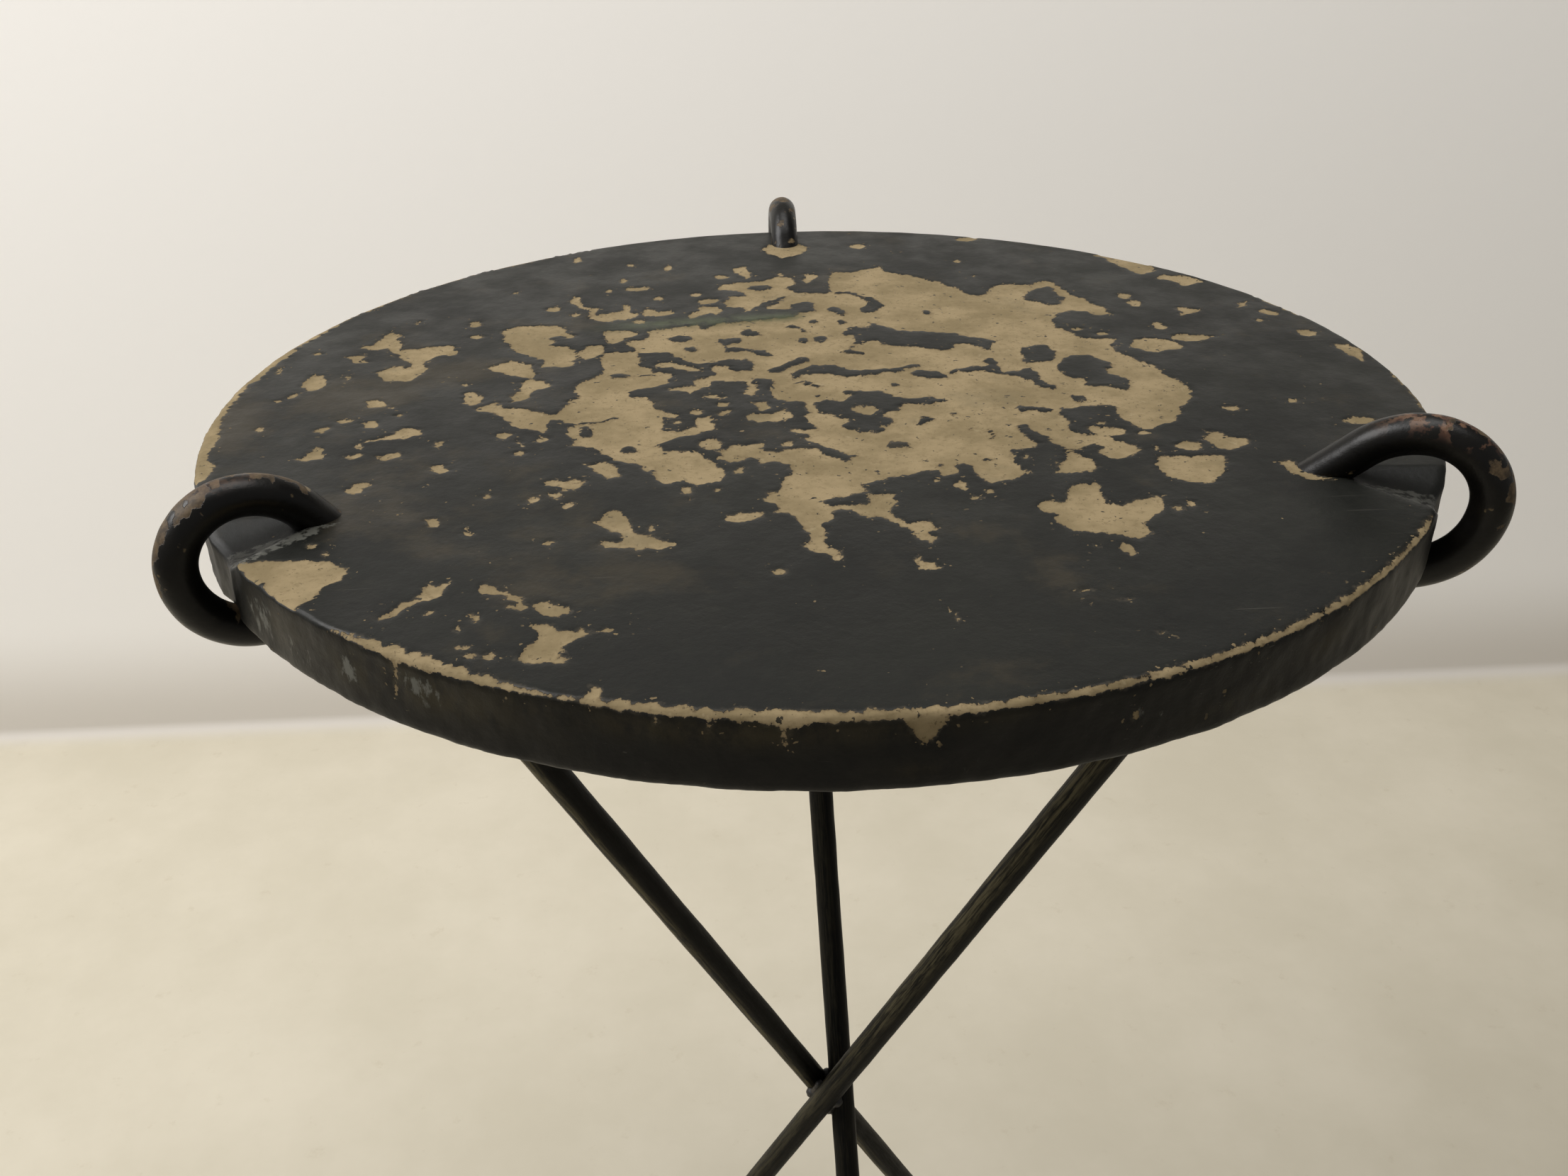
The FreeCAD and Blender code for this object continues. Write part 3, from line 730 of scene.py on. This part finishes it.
def hook_line(side):
    """Centreline of a hook from the end of its arm to its tip in the slab."""
    azimuth, reach, height, upper, crown, slope, rod_station = HOOKS[side]
    lower = height - ARM_HEIGHT
    tip_way = math.radians(slope)
    arm = np.arange(rod_station - ARM_OVERHANG, reach - lower, TUBE_STEP)
    line = [(station, ARM_HEIGHT) for station in arm]
    bends = [(-90, 0, reach - lower, height, lower), (0, 90, reach - upper, height, upper),
             (90, 90 + slope, reach - upper, height + upper - crown, crown)]
    for first, last, middle, level, radius in bends:
        for turn in np.radians(np.arange(first, last, BEND_STEP)):
            line.append((middle + radius * math.cos(turn), level + radius * math.sin(turn)))
    turn = math.radians(90 + slope)
    start = (middle + radius * math.cos(turn), level + radius * math.sin(turn))
    for run in np.arange(0, (start[1] + TIP_DEPTH) / math.sin(tip_way), TUBE_STEP):
        line.append((start[0] - run * math.cos(tip_way), start[1] - run * math.sin(tip_way)))
    return [plane_point(azimuth, station, level) for station, level in line]


def make_hook(side, seed):
    """Hooked bar, worn where it faces outward and up."""
    azimuth = math.radians(HOOKS[side][0])
    normal = (math.sin(azimuth), -math.cos(azimuth), 0)
    piece, points, spokes, _, _ = make_tube("hook_" + side, hook_line(side), normal, BAR_RADIUS, 72, seed)
    outward = np.array([math.cos(azimuth), math.sin(azimuth), 0.75])
    if side == "left":
        outward = np.array(LEFT_WORN_WAY)
    outward /= np.linalg.norm(outward)
    facing = spokes @ outward
    uneven = 0.34 * ripple(points, 11, seed + 2) + 0.34 * ripple(points, 4.5, seed + 3)
    add_attribute(piece, "worn", 0.72 * facing + uneven - HOOK_BLACK[side])
    above = points[:, 2] - TOP_Z
    copper = HOOK_COPPER[side] * smooth(above, 13, 20) * smooth(facing, 0.0, 0.5)
    add_attribute(piece, "copper", copper)
    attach(piece, "root")
    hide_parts("ring_hook_" + side)
    return piece


def mount_position(name):
    """Place of a mount of the record, in mm."""
    for mount in record["mounts"]:
        if mount["name"] == name:
            return np.array(mount["pos_m"], float) / MM
    raise KeyError(name)


def rod_ends(side):
    """Foot and head of a rod's axis: the foot's mount, and its joint with the arm."""
    foot = mount_position("foot_" + side)
    head = np.array(plane_point(HOOKS[side][0], HOOKS[side][-1], ARM_HEIGHT))
    return foot, head


def rod_dust_and_painted_light(side, spokes, share):
    """Strength of the pale dust and painted light on a rod; share runs from its foot to its head."""
    # Painted light as well as dust: the left rod is lightened on its side facing down to the floor, the right
    # one on its upper side
    facing_left = spokes @ np.array([-0.83, -0.45, -0.33])
    facing_up = spokes @ np.array([-0.3, -0.35, 0.89])
    if side == "left":
        return smooth(facing_left, 0.25, 0.9) * 0.85
    if side == "right":
        return smooth(facing_up, 0.1, 0.9) * (0.3 + 0.7 * smooth(share, 0.45, 0.75))
    return smooth(facing_up, 0.3, 1.0) * 0.1


def make_leg(side, seed):
    """Straight rod from its foot on the floor to its joint with the hook's arm."""
    foot, head = rod_ends(side)
    length = np.linalg.norm(head - foot)
    way = (head - foot) / length
    steps = np.concatenate([[0, 1, 2, 5, 7], np.arange(9, length - 4, 2.6)])
    centres = foot + way * steps[:, None]
    sideways = np.cross(way, (0, 0, 1))
    sideways /= np.linalg.norm(sideways)
    piece, _, spokes, along, turn = make_tube("rod_" + side, centres, sideways, ROD_RADIUS, 48, seed, True)
    add_attribute(piece, "dust_and_painted_light", rod_dust_and_painted_light(side, spokes, along / length))
    add_attribute(piece, "along", along)
    add_attribute(piece, "turn_x", np.cos(turn))
    add_attribute(piece, "turn_y", np.sin(turn))
    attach(piece, "root")
    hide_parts("leg_" + side)
    return piece


def add_ball(vertices, faces, centre, radius):
    """Adds a coarse closed ball to lists of vertices and faces."""
    rings, sides = 8, 14
    start = len(vertices)
    for ring in range(1, rings):
        lean = ring * math.pi / rings
        for k in range(sides):
            turn = k * math.pi / (sides / 2)
            vertices.append((centre[0] + radius * math.sin(lean) * math.cos(turn),
                             centre[1] + radius * math.sin(lean) * math.sin(turn),
                             centre[2] + radius * math.cos(lean)))
    for ring in range(rings - 2):
        for k in range(sides):
            n = (k + 1) % sides
            a, b = start + ring * sides, start + (ring + 1) * sides
            faces.append((a + k, b + k, b + n, a + n))
    faces.append(tuple(start + k for k in range(sides)))
    faces.append(tuple(start + (rings - 2) * sides + k for k in range(sides - 1, -1, -1)))


def lump(name, balls, voxel):
    """One blended weld from (centre, radius) balls: voxel mesh, smoothed, then made uneven."""
    vertices, faces = [], []
    for centre, radius in balls:
        add_ball(vertices, faces, centre, radius)
    rough = new_mesh(name + "_rough", vertices, faces)
    remesh = rough.modifiers.new("remesh", "REMESH")
    remesh.mode = "VOXEL"
    remesh.voxel_size = voxel * MM
    relax = rough.modifiers.new("relax", "SMOOTH")
    relax.factor = 0.5
    relax.iterations = 5
    shape = rough.evaluated_get(bpy.context.evaluated_depsgraph_get()).to_mesh()
    co = np.array([v.co for v in shape.vertices]) / MM
    normals = np.array([v.normal for v in shape.vertices])
    polygons = [tuple(p.vertices) for p in shape.polygons]
    co += normals * (0.25 * ripple(co, 6, 71) + 0.12 * ripple(co, 2.2, 72))[:, None]
    bpy.data.objects.remove(rough)
    return new_mesh(name, co, polygons)


def closest_points(first, second):
    """Points of two lines where they pass closest; each line is (foot, head)."""
    way_a, way_b = first[1] - first[0], second[1] - second[0]
    across = np.cross(way_a, way_b)
    apart = second[0] - first[0]
    share_a = np.dot(np.cross(apart, way_b), across) / np.dot(across, across)
    share_b = np.dot(np.cross(apart, way_a), across) / np.dot(across, across)
    return first[0] + way_a * share_a, second[0] + way_b * share_b


def make_crossing_weld():
    """Beads that fill the corners where each two rods pass."""
    sides = list(HOOKS)
    balls = []
    for number in range(len(sides)):
        first, second = rod_ends(sides[number - 1]), rod_ends(sides[number])
        near_a, near_b = closest_points(first, second)
        middle = (near_a + near_b) / 2
        way_a = (first[1] - first[0]) / np.linalg.norm(first[1] - first[0])
        way_b = (second[1] - second[0]) / np.linalg.norm(second[1] - second[0])
        beside = way_a - way_b
        beside /= np.linalg.norm(beside)
        above = way_a + way_b
        above /= np.linalg.norm(above)
        balls.append((middle, 4.6))
        for sign in (-1, 1):
            for spread in (2.0, 3.8):
                balls.append((middle + beside * sign * spread, 4.7 - spread * 0.4))
            for spread in (3.0, 6.0, 8.5):
                balls.append((middle + above * sign * spread, 4.8 - spread * 0.28))
    piece = lump("weld_crossing", balls, 0.7)
    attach(piece, "root")
    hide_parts("crossing_weld")
    return piece


def make_hook_weld(side):
    """Ring of beads round the rod's head, under the hook's arm."""
    foot, head = rod_ends(side)
    way = (head - foot) / np.linalg.norm(head - foot)
    azimuth = math.radians(HOOKS[side][0])
    arm = np.array([math.cos(azimuth), math.sin(azimuth), 0])
    across = np.array([-math.sin(azimuth), math.cos(azimuth), 0])
    balls = []
    for k in range(18):
        turn = k * math.pi / 9
        off = arm * math.cos(turn) * 7.2 + across * math.sin(turn) * 6.0
        drop = math.sqrt(max(BAR_RADIUS ** 2 - (math.sin(turn) * 6.0) ** 2, 0))
        place = head + off - np.array([0, 0, drop]) - way * 0.8
        balls.append((place, 2.1 + 0.35 * math.sin(k * 2.4)))
    piece = lump("weld_" + side, balls, 0.5)
    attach(piece, "root")
    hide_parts("hook_weld_" + side)
    return piece


def colour(red, green, blue):
    """Linear RGBA from 0-255 display values."""
    values = [c / 255 for c in (red, green, blue)]
    linear = [c / 12.92 if c <= 0.04045 else ((c + 0.055) / 1.055) ** 2.4 for c in values]
    return (*linear, 1.0)


class Paint:
    """Adds shader nodes to one new material and joins them."""

    def __init__(self, name):
        self.material = bpy.data.materials.new(name)
        self.material.use_nodes = True
        self.tree = self.material.node_tree
        self.shader = self.tree.nodes["Principled BSDF"]
        self.place = self.tree.nodes.new("ShaderNodeTexCoord").outputs["Object"]

    def feed(self, socket, value):
        if isinstance(value, bpy.types.NodeSocket):
            self.tree.links.new(value, socket)
        else:
            socket.default_value = value

    def calc(self, operation, *values):
        node = self.tree.nodes.new("ShaderNodeMath")
        node.operation = operation
        for socket, value in zip(node.inputs, values):
            self.feed(socket, value)
        return node.outputs[0]

    def attribute(self, name):
        node = self.tree.nodes.new("ShaderNodeAttribute")
        node.attribute_name = name
        return node.outputs["Fac"]

    def noise(self, scale, detail=3.0, roughness=0.55, place=None):
        node = self.tree.nodes.new("ShaderNodeTexNoise")
        self.feed(node.inputs["Vector"], place or self.place)
        node.inputs["Scale"].default_value = scale
        node.inputs["Detail"].default_value = detail
        node.inputs["Roughness"].default_value = roughness
        return node.outputs["Fac"]

    def stretch(self, scale, rotation=(0, 0, 0), place=None):
        node = self.tree.nodes.new("ShaderNodeMapping")
        self.feed(node.inputs["Vector"], place or self.place)
        node.inputs["Rotation"].default_value = rotation
        node.inputs["Scale"].default_value = scale
        return node.outputs[0]

    def step(self, value, low, high, to_low=0.0, to_high=1.0):
        node = self.tree.nodes.new("ShaderNodeMapRange")
        node.interpolation_type = "SMOOTHSTEP"
        self.feed(node.inputs["Value"], value)
        node.inputs["From Min"].default_value = low
        node.inputs["From Max"].default_value = high
        node.inputs["To Min"].default_value = to_low
        node.inputs["To Max"].default_value = to_high
        return node.outputs["Result"]

    def mix(self, share, first, second):
        node = self.tree.nodes.new("ShaderNodeMix")
        node.data_type = "RGBA"
        self.feed(node.inputs[0], share)
        self.feed(node.inputs[6], first)
        self.feed(node.inputs[7], second)
        return node.outputs[2]

    def bump(self, height, distance, strength=1.0, normal=None):
        node = self.tree.nodes.new("ShaderNodeBump")
        node.inputs["Strength"].default_value = strength
        node.inputs["Distance"].default_value = distance
        self.feed(node.inputs["Height"], height)
        if normal:
            self.feed(node.inputs["Normal"], normal)
        return node.outputs[0]

    def finish(self, base, roughness, normal, **constants):
        self.feed(self.shader.inputs["Base Color"], base)
        self.feed(self.shader.inputs["Roughness"], roughness)
        self.feed(self.shader.inputs["Normal"], normal)
        for name, value in constants.items():
            self.shader.inputs[name.replace("_", " ")].default_value = value
        return self.material


def slab_material():
    """Chipped black paint over a pale coat: the more 'bare', the more of the coat shows."""
    p = Paint("chipped_paint")
    bare = p.attribute("bare")
    fine = p.calc("MULTIPLY_ADD", p.noise(900, 3, 0.6), 2.0, -1.0)
    coarse = p.calc("MULTIPLY_ADD", p.noise(300, 3, 0.6), 3.0, -1.5)
    ragged = p.calc("ADD", p.calc("ADD", bare, fine), coarse)
    chipped = p.step(ragged, -0.08, 0.1)
    specks = p.step(p.noise(310, 2, 0.5), 0.735, 0.75)
    specks = p.calc("MULTIPLY", specks, p.step(p.noise(35, 2), 0.5, 0.62))
    crumbs = p.calc("MULTIPLY", p.step(p.noise(430, 2, 0.5), 0.69, 0.705), p.step(bare, -5.5, -1.5))
    chipped = p.calc("MAXIMUM", chipped, p.calc("MAXIMUM", specks, crumbs))
    kept = p.step(p.noise(340, 3, 0.55, p.stretch((1, 1.2, 1), (0, 0, 1))), 0.7, 0.68)
    chipped = p.calc("MULTIPLY", chipped, kept)

    paint = p.mix(p.step(p.noise(14, 4, 0.6), 0.35, 0.68), colour(16, 17, 14), colour(22, 23, 19))
    paint = p.mix(p.step(p.noise(130, 5, 0.7), 0.45, 0.75, 0, 0.4), paint, colour(28, 29, 24))
    paint = p.mix(p.step(p.noise(60, 4, 0.65), 0.55, 0.75, 0, 0.5), paint, colour(11, 11, 9))
    smudge = p.calc("MULTIPLY_ADD", p.attribute("smudge"), 0.2, p.noise(26, 5, 0.65))
    paint = p.mix(p.step(smudge, 0.56, 0.76, 0, 0.8), paint, colour(45, 40, 29))
    # Painted shade: down the rim the paint is darkened almost to black, with a little noise
    rim_painted_shade = p.calc("MULTIPLY", p.attribute("side"), p.step(p.noise(50, 4, 0.6), 0.3, 0.6, 0.7, 1.0))
    paint = p.mix(rim_painted_shade, paint, colour(7, 7, 6))
    lines = p.noise(1, 2, 0.5, p.stretch((18, 900, 900), (0, 0, 0.5)))
    cross = p.noise(1, 2, 0.5, p.stretch((22, 1000, 1000), (0, 0, -0.9)))
    scratched = p.calc("MAXIMUM", p.step(lines, 0.7, 0.76), p.step(cross, 0.72, 0.78))
    scratched = p.calc("MULTIPLY", scratched, p.step(p.noise(12, 2), 0.45, 0.65, 0.0, 0.55))
    paint = p.mix(scratched, paint, colour(71, 69, 63))
    halo = p.calc("MULTIPLY", p.step(ragged, -1.1, -0.1), p.step(p.noise(190, 3), 0.42, 0.6, 0, 0.75))
    paint = p.mix(halo, paint, colour(56, 51, 42))
    rub = p.step(p.noise(90, 5, 0.7, p.stretch((1, 1, 0.6))), 0.34, 0.6)
    rub = p.calc("MULTIPLY", p.attribute("rub"), rub)
    paint = p.mix(rub, paint, colour(47, 41, 25))

    under = p.mix(p.step(p.noise(45, 5, 0.65), 0.36, 0.66), colour(117, 103, 75), colour(139, 123, 93))
    under = p.mix(p.step(p.noise(420, 4, 0.7), 0.52, 0.72, 0, 0.6), under, colour(102, 88, 62))
    under = p.mix(p.step(p.noise(700, 2, 0.6), 0.66, 0.72, 0, 0.55), under, colour(71, 61, 44))
    under = p.mix(p.step(p.noise(150, 4, 0.7), 0.62, 0.72, 0, 0.45), under, colour(148, 134, 105))
    under = p.mix(p.step(p.noise(22, 4, 0.6), 0.58, 0.72, 0, 0.35), under, colour(99, 91, 70))
    # Painted shade: next to the paint's edge the bare coat is darkened, as if shaded by the paint's thickness
    edge = p.calc("MULTIPLY", p.step(ragged, 0.9, 0.0), 0.55)
    under = p.mix(edge, under, colour(97, 82, 59))

    base = p.mix(chipped, paint, under)
    green = p.calc("MULTIPLY", p.attribute("streak"), p.step(p.noise(110, 4, 0.7), 0.34, 0.56, 0, 0.8))
    base = p.mix(green, base, colour(62, 68, 47))
    # Grey scuffs on the rim, and a painted highlight in grey on the front flank of each scoop
    strength = p.attribute("scuff_and_highlight")
    scuff_and_highlight = p.calc("MULTIPLY_ADD", strength, 0.25, p.noise(1, 5, 0.7, p.stretch((300, 300, 130))))
    scuff_and_highlight = p.calc("MULTIPLY", p.step(scuff_and_highlight, 0.66, 0.78), p.step(strength, 0.05, 0.6, 0, 0.85))
    base = p.mix(scuff_and_highlight, base, colour(92, 92, 86))
    gloss = p.mix(chipped, p.step(p.noise(40, 4, 0.6), 0.3, 0.7, 0.4, 0.56), (0.85, 0.85, 0.85, 1))
    height = p.calc("MULTIPLY", chipped, -1.0)
    normal = p.bump(height, 0.0003, 0.8)
    normal = p.bump(p.noise(240, 4, 0.65), 0.00035, 0.5, normal)
    normal = p.bump(p.noise(40, 3, 0.5), 0.0012, 0.2, normal)
    return p.finish(base, gloss, normal, Specular_IOR_Level=0.23)


def hook_material():
    """Black bar worn to brown, with a copper tint where it is attributed."""
    p = Paint("worn_black_bar")
    ragged = p.calc("ADD", p.attribute("worn"), p.calc("MULTIPLY_ADD", p.noise(520, 4, 0.65), 0.7, -0.35))
    worn = p.step(ragged, 0.02, 0.12)
    spots = p.calc("MULTIPLY", p.step(p.noise(170, 2, 0.5), 0.66, 0.7), p.step(ragged, -0.5, -0.1))
    black = p.mix(p.step(p.noise(60, 4, 0.6), 0.35, 0.7), colour(6, 5, 4), colour(14, 12, 8))
    brown = p.mix(p.step(p.noise(320, 4, 0.7), 0.35, 0.65), colour(54, 44, 31), colour(88, 73, 53))
    base = p.mix(worn, black, brown)
    base = p.mix(spots, base, p.mix(p.step(p.noise(400), 0.4, 0.6), colour(84, 70, 48), colour(122, 106, 78)))
    copper = p.calc("MULTIPLY", p.attribute("copper"), p.step(p.noise(150, 4, 0.6), 0.49, 0.55))
    base = p.mix(copper, base, p.mix(p.step(p.noise(260), 0.45, 0.6), colour(72, 50, 39), colour(98, 74, 57)))
    gloss = p.mix(worn, (0.34, 0.34, 0.34, 1), (0.56, 0.56, 0.56, 1))
    normal = p.bump(p.calc("MULTIPLY", worn, -1.0), 0.0002, 0.6)
    normal = p.bump(p.noise(230, 4, 0.6), 0.0004, 0.45, normal)
    return p.finish(base, gloss, normal, Specular_IOR_Level=0.28)


def rod_material():
    """Dark rod with a grain along it, and pale dust with painted light on one side."""
    p = Paint("mill_scale_rod")
    pack = p.tree.nodes.new("ShaderNodeCombineXYZ")
    p.feed(pack.inputs[0], p.attribute("along"))
    p.feed(pack.inputs[1], p.attribute("turn_x"))
    p.feed(pack.inputs[2], p.attribute("turn_y"))
    run = pack.outputs[0]
    streak = p.noise(1, 4, 0.6, p.stretch((0.02, 3.5, 3.5), place=run))
    grain = p.noise(1, 4, 0.65, p.stretch((0.09, 7, 7), place=run))
    base = p.mix(p.step(streak, 0.35, 0.65), colour(4, 4, 3), colour(11, 10, 6))
    base = p.mix(p.step(grain, 0.52, 0.7, 0, 0.6), base, colour(20, 18, 10))
    # Pale dust, and painted light on the side of each rod that the light falls on
    dust_and_painted_light_mask = p.calc("MULTIPLY", p.attribute("dust_and_painted_light"), p.step(p.calc("ADD", streak, grain), 0.82, 1.22))
    base = p.mix(dust_and_painted_light_mask, base, p.mix(p.noise(300), colour(98, 91, 69), colour(124, 116, 89)))
    gloss = p.step(grain, 0.3, 0.7, 0.42, 0.6)
    normal = p.bump(grain, 0.0003, 0.4)
    normal = p.bump(p.noise(420, 4, 0.6), 0.0002, 0.4, normal)
    return p.finish(base, gloss, normal, Specular_IOR_Level=0.12)


def weld_material():
    """Dull grey weld iron with brown patches."""
    p = Paint("weld_iron")
    base = p.mix(p.step(p.noise(180, 4, 0.65), 0.4, 0.65), colour(17, 16, 14), colour(34, 34, 33))
    base = p.mix(p.step(p.noise(420, 3, 0.6), 0.58, 0.7, 0, 0.7), base, colour(57, 57, 54))
    base = p.mix(p.step(p.noise(90, 3), 0.55, 0.7, 0, 0.6), base, colour(39, 27, 14))
    normal = p.bump(p.noise(350, 4, 0.6), 0.0006, 0.6)
    return p.finish(base, p.step(p.noise(200, 3), 0.4, 0.6, 0.4, 0.62), normal, Specular_IOR_Level=0.6)


def one_sided(p):
    """Lets a backdrop be seen through from behind."""
    facing = p.tree.nodes.new("ShaderNodeNewGeometry").outputs["Backfacing"]
    clear = p.tree.nodes.new("ShaderNodeBsdfTransparent")
    share = p.tree.nodes.new("ShaderNodeMixShader")
    p.feed(share.inputs[0], facing)
    p.feed(share.inputs[1], p.shader.outputs[0])
    p.feed(share.inputs[2], clear.outputs[0])
    p.feed(p.tree.nodes["Material Output"].inputs["Surface"], share.outputs[0])


def make_backdrop():
    """Pale floor that turns up into a pale wall behind the table, with painted shade low on the wall and over
    its upper part.
    """
    wall, bend, half_width = 0.873, 0.02, 5.0
    profile = [(-6.0, 0.0), (wall - bend, 0.0)]
    for k in range(1, 10):
        turn = k * math.pi / 18
        profile.append((wall - bend + bend * math.sin(turn), bend - bend * math.cos(turn)))
    profile.append((wall, 5.0))
    vertices, faces = [], []
    for y, z in profile:
        vertices += [(-half_width / MM, y / MM, z / MM), (half_width / MM, y / MM, z / MM)]
    for k in range(len(profile) - 1):
        faces.append((2 * k, 2 * k + 1, 2 * k + 3, 2 * k + 2))
    piece = new_mesh("studio_backdrop", vertices, faces)
    p = Paint("pale_backdrop")
    height = p.tree.nodes.new("ShaderNodeSeparateXYZ")
    p.feed(height.inputs[0], p.place)
    floor = p.mix(p.step(p.noise(5, 5, 0.65), 0.3, 0.75), colour(190, 183, 165), colour(199, 192, 175))
    floor = p.mix(p.step(p.noise(38, 5, 0.7), 0.6, 0.72, 0, 0.35), floor, colour(178, 168, 148))
    # Painted shade: the wall is darker in its lowest 16 cm, where it meets the floor
    wall_with_corner_shade = p.mix(p.step(height.outputs[2], 0.02, 0.16), colour(214, 209, 202), colour(245, 243, 240))
    base = p.mix(p.step(height.outputs[2], 0.0, 0.012), floor, wall_with_corner_shade)
    # Painted shade: above about 1 m the wall is darkened to grey, so that the top reflects a dimmer room
    base = p.mix(p.step(height.outputs[2], 0.95, 1.5, 0, 0.85), base, colour(96, 94, 91))
    p.finish(base, 0.8, p.bump(p.noise(60, 3), 0.0004, 0.2), Specular_IOR_Level=0.25)
    one_sided(p)
    piece.data.materials.append(p.material)


def make_light(name, place, target, size, power, tint):
    """Square lamp at a place in metres, turned to a target."""
    data = bpy.data.lights.new(name, "AREA")
    data.shape = "SQUARE"
    data.size = size
    data.energy = power
    data.color = tint
    lamp = bpy.data.objects.new(name, data)
    bpy.context.scene.collection.objects.link(lamp)
    lamp.location = place
    lamp.rotation_mode = "QUATERNION"
    lamp.rotation_quaternion = (Vector(target) - Vector(place)).to_track_quat("-Z", "Y")


def make_camera():
    """Camera above the front edge, looking down over the table."""
    data = bpy.data.cameras.new("camera")
    data.lens = 32.55
    data.sensor_width = 36.0
    data.clip_start = 0.01
    place = Vector((-0.036647, -0.524077, 0.941296))
    forward = Vector((0.039347, 0.873154, -0.485854))
    up = Vector((0.040978, 0.484412, 0.873880))
    right = forward.cross(up)
    camera = bpy.data.objects.new("camera", data)
    bpy.context.scene.collection.objects.link(camera)
    turn = Matrix((right, up, -forward)).transposed()
    camera.matrix_world = Matrix.Translation(place) @ turn.to_4x4()
    bpy.context.scene.camera = camera


slab = make_slab()
slab.data.materials.append(slab_material())
iron, rod, weld = hook_material(), rod_material(), weld_material()
for number, side in enumerate(HOOKS):
    make_hook(side, HOOK_SEED + 10 * number).data.materials.append(iron)
    make_leg(side, ROD_SEED + 10 * number).data.materials.append(rod)
    make_hook_weld(side).data.materials.append(weld)
make_crossing_weld().data.materials.append(weld)

make_backdrop()
make_light("key", (-1.8, 0.0, 2.4), (-0.2, 0.4, TOP_Z * MM), 1.5, 61, (1.0, 0.985, 0.975))
make_light("overhead", (0.1, 0.2, 2.9), (0.1, 0.87, 1.9), 1.6, 31, (1.0, 0.98, 0.95))
world = bpy.data.worlds.new("studio")
world.use_nodes = True
world.node_tree.nodes["Background"].inputs["Color"].default_value = (0.87, 0.86, 0.84, 1)
world.node_tree.nodes["Background"].inputs["Strength"].default_value = 0.3
bpy.context.scene.world = world
bpy.context.scene.view_settings.view_transform = "Standard"
make_camera()
